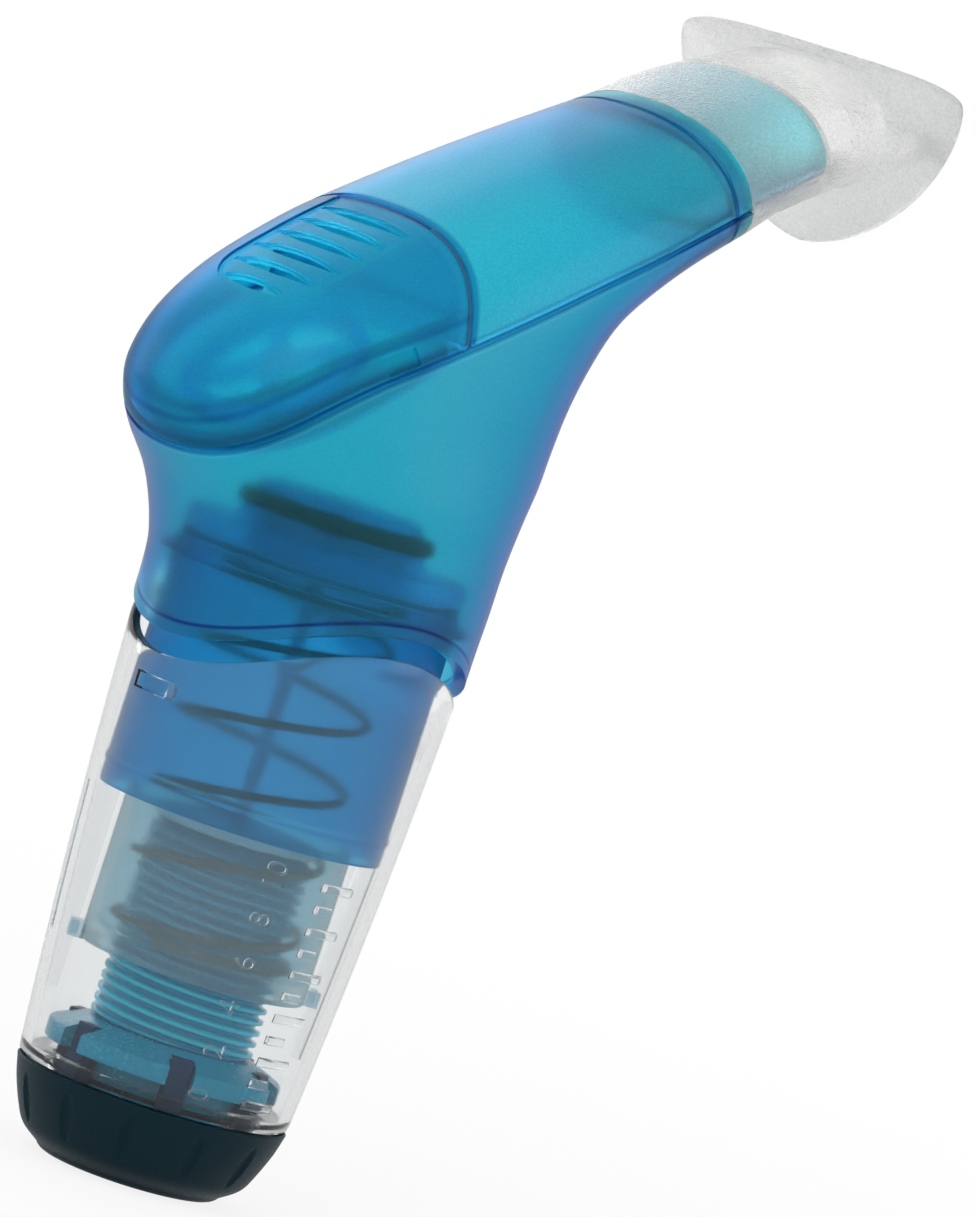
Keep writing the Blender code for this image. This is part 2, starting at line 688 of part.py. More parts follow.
def make_valve_seat(material):
    flange_r = SPIGOT_R - GAP
    plate_z = SEAT_Z + SEAT_PLATE
    rim_z = plate_z + SEAT_RIM
    profile = [(SEAT_BORE_R, SEAT_Z), (flange_r, SEAT_Z), (flange_r, plate_z), (SEAT_RIM_R, plate_z)]
    profile += [(SEAT_RIM_R - 0.6, rim_z), (SEAT_BORE_R, rim_z)]
    return turned("valve_seat", profile, material)


def make_gasket(material):
    top = SEAT_Z - GAP
    low = top - GASKET
    inner = SPIGOT_R - SPIGOT_WALL
    outer = SPIGOT_R - GAP
    return turned("seat_gasket", [(inner, low), (outer, low), (outer, top), (inner, top)], material)


def make_seal(material):
    hole = POPPET_BOSS_R + GAP
    top = SEAL_Z + SEAL
    profile = [(hole, SEAL_Z), (SEAL_R - 0.4, SEAL_Z), (SEAL_R, SEAL_Z + 0.5), (SEAL_R, top - 0.6)]
    profile += [(SEAL_R - 0.7, top), (hole, top)]
    return turned("poppet_seal", profile, material)


def make_poppet(material):
    """Plate over the seal, with a boss down through it that the stem's end goes into."""
    boss_z = POPPET_Z - POPPET_BOSS
    hole = STEM_R + GAP
    top = POPPET_Z + POPPET_PLATE
    shoulder = top - POPPET_BEVEL
    profile = [(0.0, shoulder), (hole, shoulder), (hole, boss_z), (POPPET_BOSS_R, boss_z)]
    profile += [(POPPET_BOSS_R, POPPET_Z), (POPPET_R, POPPET_Z), (POPPET_R, shoulder)]
    profile += [(POPPET_R - POPPET_BEVEL, top), (0.0, top)]
    return turned("poppet", profile, material)


def make_stem(material):
    """Rod from the poppet's boss down through the guide and the post cap, with a groove for the clip."""
    top = POPPET_Z + POPPET_PLATE - POPPET_BEVEL - GAP
    clip_z = POST_TOP_Z - POST_PLUG - CLIP
    bottom = clip_z - STEM_END
    groove = STEM_R - STEM_GROOVE
    profile = [(0.0, bottom), (STEM_R, bottom), (STEM_R, clip_z), (groove, clip_z), (groove, clip_z + CLIP)]
    profile += [(STEM_R, clip_z + CLIP), (STEM_R, top), (0.0, top)]
    return turned("valve_stem", profile, material, 20)


def make_clip(material):
    """Split ring in the stem's groove, under the post cap."""
    top = POST_TOP_Z - POST_PLUG - GAP / 2
    bottom = top - CLIP + GAP
    inner = STEM_R - STEM_GROOVE + GAP / 2
    clip = turned("stem_clip", [(inner, bottom), (CLIP_R, bottom), (CLIP_R, top), (inner, top)], material, 32)
    mouth = block((0.0, -0.5, bottom - 1.0), (CLIP_R + 1.0, 0.5, top + 1.0))
    combine(clip, around_z("clip_mouth", [mouth], (0.0,)), "DIFFERENCE")
    return clip


def make_handle_body(material):
    body = lofted("handle_body", shell_outside(), material)
    combine(body, lofted("handle_hollow", shell_inside()), "DIFFERENCE")
    combine(body, above_seam("body_above_seam", -GAP / 2), "DIFFERENCE")
    below = TUBE_RIM_Z - RIM_WAVE - SHADOW_GAP - CUT_OVER
    skirt = rim_ring("below_skirt", HANDLE_R / 2, HANDLE_R + CUT_OVER, below, SHADOW_GAP)
    combine(body, skirt, "DIFFERENCE")

    inner = SPIGOT_R - SPIGOT_WALL
    bead_z = SPIGOT_BOTTOM_Z + SPIGOT_BEAD_Z
    bead_r = SPIGOT_R + SPIGOT_BEAD
    top = SEAT_Z - 2 * GAP - GASKET
    web_r = HANDLE_R - HANDLE_WALL / 2
    profile = [(inner, SPIGOT_BOTTOM_Z), (SPIGOT_R, SPIGOT_BOTTOM_Z), (SPIGOT_R, bead_z - 0.5)]
    profile += [(bead_r, bead_z), (SPIGOT_R, bead_z + 0.5), (SPIGOT_R, WEB_Z)]
    profile += [(web_r, WEB_Z), (web_r, WEB_Z + WEB)]
    profile += [(SPIGOT_R, WEB_Z + WEB), (SPIGOT_R, top), (inner, top)]
    combine(body, turned("tube_spigot", profile), "UNION")
    half = LUG_WIDTH / 2
    low = (SPIGOT_R - SPIGOT_WALL / 2, -half, LUG_Z - LUG_HEIGHT / 2)
    lug = block(low, (SPIGOT_R + LUG_REACH, half, LUG_Z + LUG_HEIGHT / 2))
    combine(body, around_z("spigot_lugs", [lug], (0.0, 180.0)), "UNION")

    far = -2 * BULB_REACH
    deck_line = [deck_point(0.0, 0.0), deck_point(far, 0.0), deck_point(far, -DECK), deck_point(0.0, -DECK)]
    deck = prism_y("exhale_deck", deck_line, 2 * BULB_HALF_WIDTH)
    combine(deck, lofted("deck_edge", shell_rings(HANDLE_WALL / 2)), "INTERSECT")
    bore = (EXHALE_PORT_R, -DECK - CUT_OVER, CUT_OVER)
    port = turned("exhale_port", [(0.0, bore[1]), (bore[0], bore[1]), (bore[0], bore[2]), (0.0, bore[2])])
    place_on_deck(port)
    combine(deck, port, "DIFFERENCE")
    combine(body, deck, "UNION")
    return body


def make_upper_shell(name, start, stop, material):
    """The part of the handle's skin above the seam and between two distances from the collar."""
    shell = lofted(name, shell_outside(), material)
    combine(shell, lofted(f"{name}_hollow", shell_inside()), "DIFFERENCE")
    combine(shell, above_seam(f"{name}_above_seam", GAP / 2), "INTERSECT")
    combine(shell, cap_slab(f"{name}_reach", start, stop), "INTERSECT")
    return shell


def make_vent_cap(material):
    back = -CAP_FROM_COLLAR - GAP / 2
    cap = make_upper_shell("vent_cap", -3 * CAP_FROM_COLLAR, back, material)
    wall = cap_slab("cap_bulkhead", back - BULKHEAD, back - BULKHEAD_RECESS)
    combine(wall, lofted("bulkhead_edge", shell_rings(HANDLE_WALL / 2)), "INTERSECT")
    combine(wall, above_seam("bulkhead_above_seam", GAP / 2 + BULKHEAD_RECESS), "INTERSECT")
    combine(cap, wall, "UNION")

    stations = np.array(shell_stations())
    upper = stations[10, :2]
    ridge = stations[8, :2] - upper
    ridge = ridge / np.linalg.norm(ridge)
    foot = np.array(seam_point(back, 0.0))
    lean = math.radians(SEAM_ANGLE + 90.0 - CAP_LEAN)
    across = np.array([math.sin(lean), -math.cos(lean)])
    edge = upper + ridge * (np.dot(foot - upper, across) / np.dot(ridge, across))
    inward = np.array([-ridge[1], ridge[0]])
    points = []
    faces = []
    for k in range(SLOT_COUNT):
        length = SLOT_LENGTH * (SLOT_LAST_SHARE if k == SLOT_COUNT - 1 else 1.0)
        middle = edge + ridge * (SLOT_FIRST + SLOT_PITCH * k)
        lens = []
        for t in np.linspace(-1.0, 1.0, 9)[1:-1]:
            lens.append((t * length / 2, SLOT_WIDTH / 2 * (1 - t * t)))
        lens = [(-length / 2, 0.0)] + [(y, -w) for y, w in lens] + [(length / 2, 0.0)] + lens[::-1]
        start = len(points)
        for depth in (-CUT_OVER, CUT_OVER):
            for y, w in lens:
                x, z = middle + ridge * w + inward * depth
                points.append((x, y, z))
        faces.extend(tuple(start + i for i in face) for face in skin_faces(2, len(lens)))
    combine(cap, mesh_object("vent_slots", points, faces), "DIFFERENCE")
    return cap


def make_exhale_seat(material):
    """Spoked disc that lies on the deck, modelled about its own middle."""
    low = GAP
    high = low + EXHALE_SEAT
    ring_r = EXHALE_PORT_R - 1.4
    profile = [(ring_r, low), (EXHALE_SEAT_R, low), (EXHALE_SEAT_R, high), (ring_r, high)]
    seat = turned("exhale_seat", profile, material)
    half = EXHALE_SPOKE_WIDTH / 2
    spoke = block((EXHALE_HUB_R - 1.0, -half, low), (ring_r + 0.8, half, high))
    spokes = around_z("exhale_spokes", [spoke], every(EXHALE_SPOKES, 45.0))
    hole = FLAP_STEM_R + GAP
    hub_profile = [(hole, low), (EXHALE_HUB_R, low), (EXHALE_HUB_R, high), (hole, high)]
    hub = turned("exhale_hub", hub_profile, None, 24)
    combine(seat, spokes, "UNION")
    combine(seat, hub, "UNION")
    for obj in (seat, spokes, hub):
        place_on_deck(obj)
    return seat


def make_exhale_flap(material):
    """Umbrella disc over the seat, with a stem down through the seat's hub."""
    low = 2 * GAP + EXHALE_SEAT
    high = low + FLAP
    foot = -FLAP_TRAVEL - GAP
    profile = [(0.0, foot), (FLAP_STEM_R, foot), (FLAP_STEM_R, low), (FLAP_R, low)]
    profile += [(FLAP_R - 0.2, high - 0.3), (FLAP_R * 0.4, high), (0.0, high + 0.3)]
    flap = turned("exhale_flap", profile, material)
    place_on_deck(flap)
    return flap


def make_exhale_button(material):
    """Bead on the end of the flap's stem that stops it leaving the hub."""
    high = -FLAP_TRAVEL - 2 * GAP
    low = high - BUTTON
    profile = [(0.0, low), (BUTTON_R * 0.6, low), (BUTTON_R, (low + high) / 2), (BUTTON_R, high), (0.0, high)]
    button = turned("exhale_button", profile, material, 24)
    place_on_deck(button)
    return button


def tilted_ring(x, z, angle, half_height, half_width, squareness, count=RING):
    """An oval ring about a point, across a direction at an angle above +X."""
    up = np.array([-math.sin(math.radians(angle)), math.cos(math.radians(angle))])
    centre = np.array([x, z])
    return oval(centre + up * half_height, centre - up * half_height, half_width, squareness, count)


def flange_ring(shift, inset):
    """The lip flange's outline: nearly flat on top, round below, widest above its middle."""
    angles = np.linspace(0.0, 2.0 * math.pi, RING + 8, endpoint=False)
    cosine = np.cos(angles)
    sine = np.sin(angles)
    upper = cosine > 0
    power = np.where(upper, 2.0 / FLANGE_UPPER_SQUARENESS, 2.0 / FLANGE_LOWER_SQUARENESS)
    reach = np.where(upper, FLANGE_TOP - FLANGE_WIDEST, FLANGE_BOTTOM + FLANGE_WIDEST) - inset
    height = FLANGE_WIDEST + reach * np.sign(cosine) * np.abs(cosine) ** power
    side = (FLANGE_HALF_WIDTH - inset) * np.sign(sine) * np.abs(sine) ** power
    lean = math.radians(FLANGE_ANGLE)
    x = FLANGE_X + shift * math.cos(lean) - height * math.sin(lean)
    z = FLANGE_Z + shift * math.sin(lean) + height * math.cos(lean)
    return np.stack([x, side, z], axis=1)


def make_mouthpiece(material):
    """Soft sleeve over the neck, lip flange, and two bite tabs on the mouth side."""
    high, wide = COLLAR_HALF_HEIGHT, COLLAR_HALF_WIDTH
    end_high, end_wide = SLEEVE_END_HALF_HEIGHT, SLEEVE_END_HALF_WIDTH
    lip = (FLANGE_X, FLANGE_Z)
    half = FLANGE / 2
    middle = arm_point(NECK_LENGTH * 0.6, 0.0)
    root = on_line(lip, FLANGE_ANGLE, -half - 0.2, 0.0)
    sleeve = [
        tilted_ring(*arm_point(GAP, 0.0), ARM_ANGLE, high, wide, 2.3),
        tilted_ring(*middle, ARM_ANGLE - 3.0, high - 0.6, wide - 0.6, 2.3),
        tilted_ring(SLEEVE_END_X, SLEEVE_END_Z, SLEEVE_END_ANGLE, end_high, end_wide, 2.3),
        tilted_ring(*root, FLANGE_ANGLE, end_high + 0.4, end_wide + 3.0, 2.2),
        tilted_ring(*lip, FLANGE_ANGLE, end_high + 0.8, end_wide + 4.0, 2.2),
    ]
    mouthpiece = lofted("mouthpiece", sleeve, material)
    edge = 0.8
    flange = [flange_ring(-half, edge), flange_ring(edge - half, 0.0), flange_ring(half - edge, 0.0)]
    flange.append(flange_ring(half, edge))
    combine(mouthpiece, lofted("lip_flange", flange), "UNION")
    for name, side in (("bite_tab_left", -1.0), ("bite_tab_right", 1.0)):
        tab = []
        for along, share in ((0.0, 1.0), (BITE_LENGTH - 1.5, 0.9), (BITE_LENGTH, 0.65)):
            place = on_line(lip, FLANGE_ANGLE, along, 0.0)
            ring = tilted_ring(*place, FLANGE_ANGLE, BITE_HEIGHT / 2 * share, BITE_WIDTH / 2 * share, 4.0, 16)
            tab.append(ring + np.array([0.0, side * BITE_Y, 0.0]))
        combine(mouthpiece, lofted(name, tab), "UNION")
    socket = NECK_STEP - GAP
    mouth = (FLANGE_ANGLE, BORE_HALF_HEIGHT, BORE_HALF_WIDTH, 2.3)
    beyond = BITE_LENGTH + 2 * CUT_OVER
    bore = [
        neck_ring(-CUT_OVER, socket),
        neck_ring(NECK_LENGTH + GAP, socket),
        tilted_ring(*arm_point(NECK_LENGTH + 1.2, 0.0), ARM_ANGLE, BORE_HALF_HEIGHT, BORE_HALF_WIDTH, 2.3),
        tilted_ring(*on_line(lip, FLANGE_ANGLE, -FLANGE, 0.0), *mouth),
        tilted_ring(*on_line(lip, FLANGE_ANGLE, beyond, 0.0), *mouth),
    ]
    combine(mouthpiece, lofted("mouth_bore", bore), "DIFFERENCE")
    return mouthpiece


def joint_empty(name, location):
    """An empty on a joint's axis, which carries the pieces that move about it."""
    empty = bpy.data.objects.new(name, None)
    empty.location = [value * MM for value in location]
    bpy.context.scene.collection.objects.link(empty)
    return empty


def carry(empty, pieces):
    """Parent pieces to an empty and leave them where they are."""
    bpy.context.view_layer.update()
    for piece in pieces:
        piece.parent = empty
        piece.matrix_parent_inverse = empty.matrix_world.inverted()


def main():
    clear_scene()
    blue = (0.010, 0.212, 0.434)
    shell_blue = finish("blue_shell", blue, 0.30, transmission=0.6)
    cover_blue = finish("blue_cover", (0.012, 0.230, 0.450), 0.32, transmission=0.6)
    cap_blue = finish("blue_cap", (0.008, 0.170, 0.380), 0.28, transmission=0.5)
    post_blue = finish("cyan_post", (0.013, 0.305, 0.515), 0.25, transmission=0.3)
    valve_blue = finish("blue_valve_parts", (0.008, 0.130, 0.360), 0.30)
    clear = finish("clear_tube", (0.92, 0.94, 0.94), 0.08, transmission=1.0)
    grey = finish("grey_carrier", (0.215, 0.238, 0.240), 0.35, transmission=0.3)
    black = finish("black_rubber", (0.008, 0.008, 0.009), 0.70)
    steel = finish("spring_steel", (0.28, 0.27, 0.25), 0.35, metallic=1.0)
    teal = finish("dark_teal", (0.006, 0.028, 0.040), 0.40)
    white = finish("white_acetal", (0.70, 0.72, 0.72), 0.45)
    silicone = finish("frosted_silicone", (0.62, 0.63, 0.61), 0.55, transmission=0.3)

    knob = make_knob(teal)
    make_scale_tube(clear)
    post = make_post(post_blue)
    post_cap = make_post_cap(white)
    carrier = make_carrier(grey)
    make_spring(steel)
    make_spring_guide(white)
    make_valve_seat(valve_blue)
    make_gasket(black)
    seal = make_seal(black)
    poppet = make_poppet(valve_blue)
    stem = make_stem(steel)
    clip = make_clip(steel)
    make_handle_body(shell_blue)
    make_upper_shell("top_cover", -CAP_FROM_COLLAR + GAP / 2, NECK_LENGTH + BULB_REACH, cover_blue)
    make_vent_cap(cap_blue)
    make_exhale_seat(valve_blue)
    flap = make_exhale_flap(silicone)
    button = make_exhale_button(silicone)
    make_mouthpiece(silicone)

    lift = joint_empty("inhale_lift_axis", (0.0, 0.0, SEAL_Z))
    carry(joint_empty("knob_axis", (0.0, 0.0, 0.0)), [knob])
    carry(lift, [seal, poppet, stem, clip])
    carry(joint_empty("post_axis", (0.0, 0.0, POST_Z)), [post, post_cap])
    carry(joint_empty("carrier_axis", (0.0, 0.0, CARRIER_Z)), [carrier])
    port = deck_point(-EXHALE_SETBACK, 0.0)
    carry(joint_empty("exhale_axis", (port[0], 0.0, port[1])), [flap, button])


main()
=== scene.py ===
"""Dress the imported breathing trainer: translucent shells, clear scale tube, valve train, spring and knob.

Every size below is in millimetres in the model's own frame: Z runs up the tube's axis from the knob's
underside, +X points towards the mouthpiece, and the camera looks from the -X, -Y side.
"""

import logging
import math
from dataclasses import dataclass
from enum import Enum

import bmesh
import bpy
import numpy as np
from mathutils import Matrix, Vector


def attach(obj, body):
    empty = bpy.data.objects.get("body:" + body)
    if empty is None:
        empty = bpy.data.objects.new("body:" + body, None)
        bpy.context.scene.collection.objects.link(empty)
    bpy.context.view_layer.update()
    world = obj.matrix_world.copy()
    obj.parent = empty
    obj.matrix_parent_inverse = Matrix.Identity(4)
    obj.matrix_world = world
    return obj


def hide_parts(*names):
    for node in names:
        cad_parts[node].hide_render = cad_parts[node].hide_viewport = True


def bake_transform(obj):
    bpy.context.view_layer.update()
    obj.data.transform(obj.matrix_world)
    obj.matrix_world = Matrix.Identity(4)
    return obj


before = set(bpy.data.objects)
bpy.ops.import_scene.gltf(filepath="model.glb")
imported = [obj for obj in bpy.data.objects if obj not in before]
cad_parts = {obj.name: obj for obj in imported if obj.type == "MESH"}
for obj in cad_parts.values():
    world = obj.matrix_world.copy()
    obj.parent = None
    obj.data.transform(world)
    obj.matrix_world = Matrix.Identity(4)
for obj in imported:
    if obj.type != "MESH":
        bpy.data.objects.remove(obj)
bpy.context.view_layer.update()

LOG = logging.getLogger("trainer")
MM = 0.001
# Points round a fine and an ordinary circle.
FINE = 128
ROUND = 96
# Clearance between pieces, the distance within which points merge, and the lap of solids that are joined.
GAP = 0.3
WELD = 0.002
LAP = 0.1
# The radius of the small ring that closes a turned piece at its axis.
AXIS_R = 0.05
# How far a large block, a cut through an open end and a small block run past what they cut.
FAR = 60.0
OVERSHOOT = 5.0
PAST = 1.0
# The most of an outline's side that the rounding of one corner takes up.
EASE_SHARE = 0.45
# Edges that turn by more than this many degrees stay sharp.
SHARP = 32.0
Array = np.ndarray
Socket = bpy.types.NodeSocket


class Body(Enum):
    """The rigid bodies that pieces ride on."""

    HANDLE = "handle"
    KNOB = "knob"
    INHALE = "inhale_valve"
    SCREW = "load_screw"
    CARRIER = "carrier"
    EXHALE = "exhale_valve"


class Cut(Enum):
    """The ways in which one solid changes another."""

    AWAY = "DIFFERENCE"
    JOIN = "UNION"
    KEEP = "INTERSECT"


class Grain(Enum):
    """The kinds of surface texture that the moulded and drawn pieces have."""

    SPARK = "spark-eroded"
    FLOW = "flow lines"
    FROST = "frosted"
    DRAWN = "drawn wire"


class Joint(Enum):
    """The lines on the handle where shells meet or end."""

    SEAM = "Seam"
    REAR = "Rear"
    COLLAR = "Collar"
    SKIRT = "Skirt"


# Meshes


def grid_faces(rows: int, cols: int, wrap_rows: bool, wrap_cols: bool) -> Array:
    """Quads over a grid of points.

    Args:
        rows: number of rows of points.
        cols: number of points in a row.
        wrap_rows: whether the last row joins the first.
        wrap_cols: whether each row closes on itself.

    Returns:
        An array of four point indices for each quad.
    """
    row = np.arange(rows if wrap_rows else rows - 1)[:, None]
    col = np.arange(cols if wrap_cols else cols - 1)[None, :]
    below = (row + 1) % rows
    right = (col + 1) % cols
    quads = [row * cols + col, row * cols + right, below * cols + right, below * cols + col]
    return np.stack(np.broadcast_arrays(*quads), axis=-1).reshape(-1, 4)


def raw_object(name: str, points: Array, faces: list) -> bpy.types.Object:
    """An object at the origin from points in millimetres, with its faces turned outwards.

    Args:
        name: the object's name.
        points: an array of points, the last axis being x, y, z.
        faces: lists of point indices.

    Returns:
        The new object.
    """
    mesh = bpy.data.meshes.new(name)
    mesh.from_pydata((points.reshape(-1, 3) * MM).tolist(), [], faces)
    obj = bpy.data.objects.new(name, mesh)
    bpy.context.scene.collection.objects.link(obj)
    outwards(mesh)
    return obj


def outwards(mesh: bpy.types.Mesh) -> None:
    """Turn a closed mesh right way out: its signed volume, a sum over triangles, has to be positive.

    Args:
        mesh: the mesh, which is changed in place.
    """
    mesh.calc_loop_triangles()
    corners = np.empty(len(mesh.loop_triangles) * 3, np.int32)
    mesh.loop_triangles.foreach_get("vertices", corners)
    points = np.empty(len(mesh.vertices) * 3, np.float32)
    mesh.vertices.foreach_get("co", points)
    triangles = points.reshape(-1, 3).astype(float)[corners.reshape(-1, 3)]
    if np.linalg.det(triangles).sum() < 0.0:
        mesh.flip_normals()


def solid(name: str, points: Array, wrap_rows: bool = False) -> bpy.types.Object:
    """A closed solid from rings of points: each row is a closed ring.

    Args:
        name: the object's name.
        points: an array of rows, columns and x, y, z.
        wrap_rows: whether the last ring joins the first. Otherwise the end rings are capped.

    Returns:
        The new object.
    """
    rows, cols = points.shape[:2]
    faces = grid_faces(rows, cols, wrap_rows, True).tolist()
    if not wrap_rows:
        faces.append(list(range(cols))[::-1])
        faces.append(list(range((rows - 1) * cols, rows * cols)))
    return raw_object(name, points, faces)


def weld(mesh: bpy.types.Mesh) -> None:
    """Merge points that lie on each other, and drop what that leaves without area.

    Args:
        mesh: the mesh, which is changed in place.
    """
    work = bmesh.new()
    work.from_mesh(mesh)
    bmesh.ops.remove_doubles(work, verts=work.verts, dist=WELD * MM)
    bmesh.ops.dissolve_degenerate(work, dist=WELD * MM, edges=work.edges)
    loose = [edge for edge in work.edges if not edge.link_faces]
    bmesh.ops.delete(work, geom=loose, context="EDGES")
    work.to_mesh(mesh)
    work.free()


def bare_mesh(obj: bpy.types.Object) -> None:
    """Replace an object's mesh with what its modifiers make of it.

    Args:
        obj: the object, which is left without modifiers.
    """
    graph = bpy.context.evaluated_depsgraph_get()
    made = bpy.data.meshes.new_from_object(obj.evaluated_get(graph))
    obj.modifiers.clear()
    obj.data = made
    made.name = obj.name
    weld(made)


def carve(obj: bpy.types.Object, *steps: tuple[bpy.types.Object, Cut]) -> bpy.types.Object:
    """Change a solid by others in turn, which are used up.

    Args:
        obj: the solid that is kept.
        steps: pairs of a tool and how it is used.

    Returns:
        The same object, with the result as its mesh.
    """
    for tool, cut in steps:
        modifier = obj.modifiers.new(tool.name, "BOOLEAN")
        modifier.operation = cut.value
        modifier.object = tool
        modifier.solver = "EXACT"
    bpy.context.view_layer.update()
    bare_mesh(obj)
    for tool, _ in steps:
        bpy.data.objects.remove(tool, do_unlink=True)
    return obj


def smooth(obj: bpy.types.Object, angle: float = SHARP) -> None:
    """Shade an object smooth, with edges sharper than an angle in degrees kept."""
    obj.data.shade_smooth()
    obj.data.set_sharp_from_angle(angle=math.radians(angle))


def eased(corners: list, radius: float, steps: int = 3, closed: bool = True) -> Array:
    """An outline with each corner rounded by a quadratic curve between points a radius before and after it.

    Args:
        corners: the outline's (r, z) corners.
        radius: how far from its corner a rounding starts.
        steps: spans in each rounding.
        closed: whether the outline is a loop. The ends of an open one stay as they are.

    Returns:
        An array of (r, z) points.
    """
    corner = np.asarray(corners, float)
    back = np.roll(corner, 1, axis=0) - corner
    ahead = np.roll(corner, -1, axis=0) - corner
    back_length = np.linalg.norm(back, axis=1, keepdims=True)
    ahead_length = np.linalg.norm(ahead, axis=1, keepdims=True)
    reach = np.minimum(radius, EASE_SHARE * np.minimum(back_length, ahead_length))
    start = corner + back / back_length * reach
    stop = corner + ahead / ahead_length * reach
    t = np.linspace(0.0, 1.0, steps + 1)[None, :, None]
    curve = (1 - t) ** 2 * start[:, None] + 2 * t * (1 - t) * corner[:, None] + t**2 * stop[:, None]
    if closed:
        return curve.reshape(-1, 2)
    return np.concatenate([corner[:1], curve[1:-1].reshape(-1, 2), corner[-1:]])


def circle(count: int) -> Array:
    """The angles of points round a circle, as a row."""
    return np.linspace(0.0, 2 * math.pi, count, endpoint=False)[None, :]


def about_axis(radius: Array, angle: Array, height: Array) -> Array:
    """Points about Z: x = r cos a, y = r sin a, z = height."""
    axes = np.broadcast_arrays(radius * np.cos(angle), radius * np.sin(angle), height)
    return np.stack(axes, axis=-1)


def turned(name: str, profile: Array, closed: bool = True, segments: int = ROUND) -> bpy.types.Object:
    """A profile of (r, z) turned about Z.

    Args:
        name: the object's name.
        profile: points of the outline, a loop, or a line whose first and last points are the rims of
            flat ends.
        closed: whether the profile is a loop.
        segments: points round the axis.

    Returns:
        The new object.
    """
    points = about_axis(profile[:, :1], circle(segments), profile[:, 1:])
    return solid(name, points, wrap_rows=closed)


def box_solid(name: str, low: tuple, high: tuple, turn: float = 0.0) -> bpy.types.Object:
    """A block between two corners, turned about Z.

    Args:
        name: the object's name.
        low: the lowest x, y, z.
        high: the highest x, y, z.
        turn: the angle in degrees.

    Returns:
        The new object.
    """
    outline = np.array([(low[0], low[1]), (high[0], low[1]), (high[0], high[1]), (low[0], high[1])], float)
    angle = math.radians(turn)
    spin = np.array([[math.cos(angle), math.sin(angle)], [-math.sin(angle), math.cos(angle)]])
    flat = outline @ spin
    rings = [np.column_stack([flat, np.full(4, z)]) for z in (low[2], high[2])]
    return solid(name, np.array(rings))


def prism(name: str, outline: list, half_width: float, turn: float = 0.0) -> bpy.types.Object:
    """An (x, z) outline carried along Y, then turned about Z.

    Args:
        name: the object's name.
        outline: the outline's (x, z) points.
        half_width: how far it is carried each way.
        turn: the angle in degrees.

    Returns:
        The new object.
    """
    flat = np.asarray(outline, float)
    angle = math.radians(turn)
    rings = []
    for y in (-half_width, half_width):
        x = flat[:, 0] * math.cos(angle) - y * math.sin(angle)
        aside = flat[:, 0] * math.sin(angle) + y * math.cos(angle)
        rings.append(np.column_stack([x, aside, flat[:, 1]]))
    return solid(name, np.array(rings))


def joined(name: str, pieces: list[bpy.types.Object]) -> bpy.types.Object:
    """One object from several that don't touch.

    Args:
        name: the new object's name.
        pieces: the objects, which are used up.

    Returns:
        The new object.
    """
    with bpy.context.temp_override(active_object=pieces[0], selected_editable_objects=pieces):
        bpy.ops.object.join()
    pieces[0].name = name
    pieces[0].data.name = name
    return pieces[0]


def through(rows: list, steps: int) -> Array:
    """A Catmull-Rom curve through the rows of a table.

    Args:
        rows: the table, one row of numbers for each point.
        steps: spans from the first row to the last.

    Returns:
        An array of steps + 1 rows.
    """
    table = np.asarray(rows, float)
    padded = np.vstack([2 * table[0] - table[1], table, 2 * table[-1] - table[-2]])
    where = np.linspace(0.0, len(table) - 1.0, steps + 1)
    span = np.minimum(where.astype(int), len(table) - 2)
    t = (where - span)[:, None]
    before, here, after, beyond = (padded[span + i] for i in range(4))
    bend = 2 * before - 5 * here + 4 * after - beyond
    twist = 3 * here - before - 3 * after + beyond
    return 0.5 * (2 * here + (after - before) * t + bend * t**2 + twist * t**3)


def arc(centre: tuple, radius: float, start: float, stop: float, steps: int) -> list:
    """Points on an arc in a plane, angles in degrees."""
    angle = np.radians(np.linspace(start, stop, steps + 1))
    return np.column_stack([centre[0] + radius * np.cos(angle), centre[1] + radius * np.sin(angle)]).tolist()


def on_line(origin: tuple, angle: float, along: float, up: float) -> tuple:
    """A point given along a line and up from it.

    Args:
        origin: the line's (x, z) origin.
        angle: the line's angle in degrees above +X.
        along: the distance along the line.
        up: the distance up from the line.

    Returns:
        The point's (x, z).
    """
    lean = math.radians(angle)
    x = origin[0] + along * math.cos(lean) - up * math.sin(lean)
    return (x, origin[1] + along * math.sin(lean) + up * math.cos(lean))


def oval(front: Array, back: Array, half_width: Array, squareness: Array, count: int) -> Array:
    """Rings of superellipses, each spanning front to back in the XZ plane and half_width each way in Y.

    Args:
        front: the rings' front (x, z) points.
        back: the rings' back (x, z) points.
        half_width: each ring's half width.
        squareness: each ring's exponent.
        count: points in a ring.

    Returns:
        An array of rings, points and x, y, z.
    """
    angle = circle(count)
    power = 2.0 / squareness[:, None]
    across = np.sign(np.cos(angle)) * np.abs(np.cos(angle)) ** power
    aside = np.sign(np.sin(angle)) * np.abs(np.sin(angle)) ** power
    middle = (front + back) / 2
    half = (front - back) / 2
    x = middle[:, :1] + half[:, :1] * across
    z = middle[:, 1:] + half[:, 1:] * across
    return np.stack([x, half_width[:, None] * aside, z], axis=-1)


# Materials


Feed = Socket | float | tuple


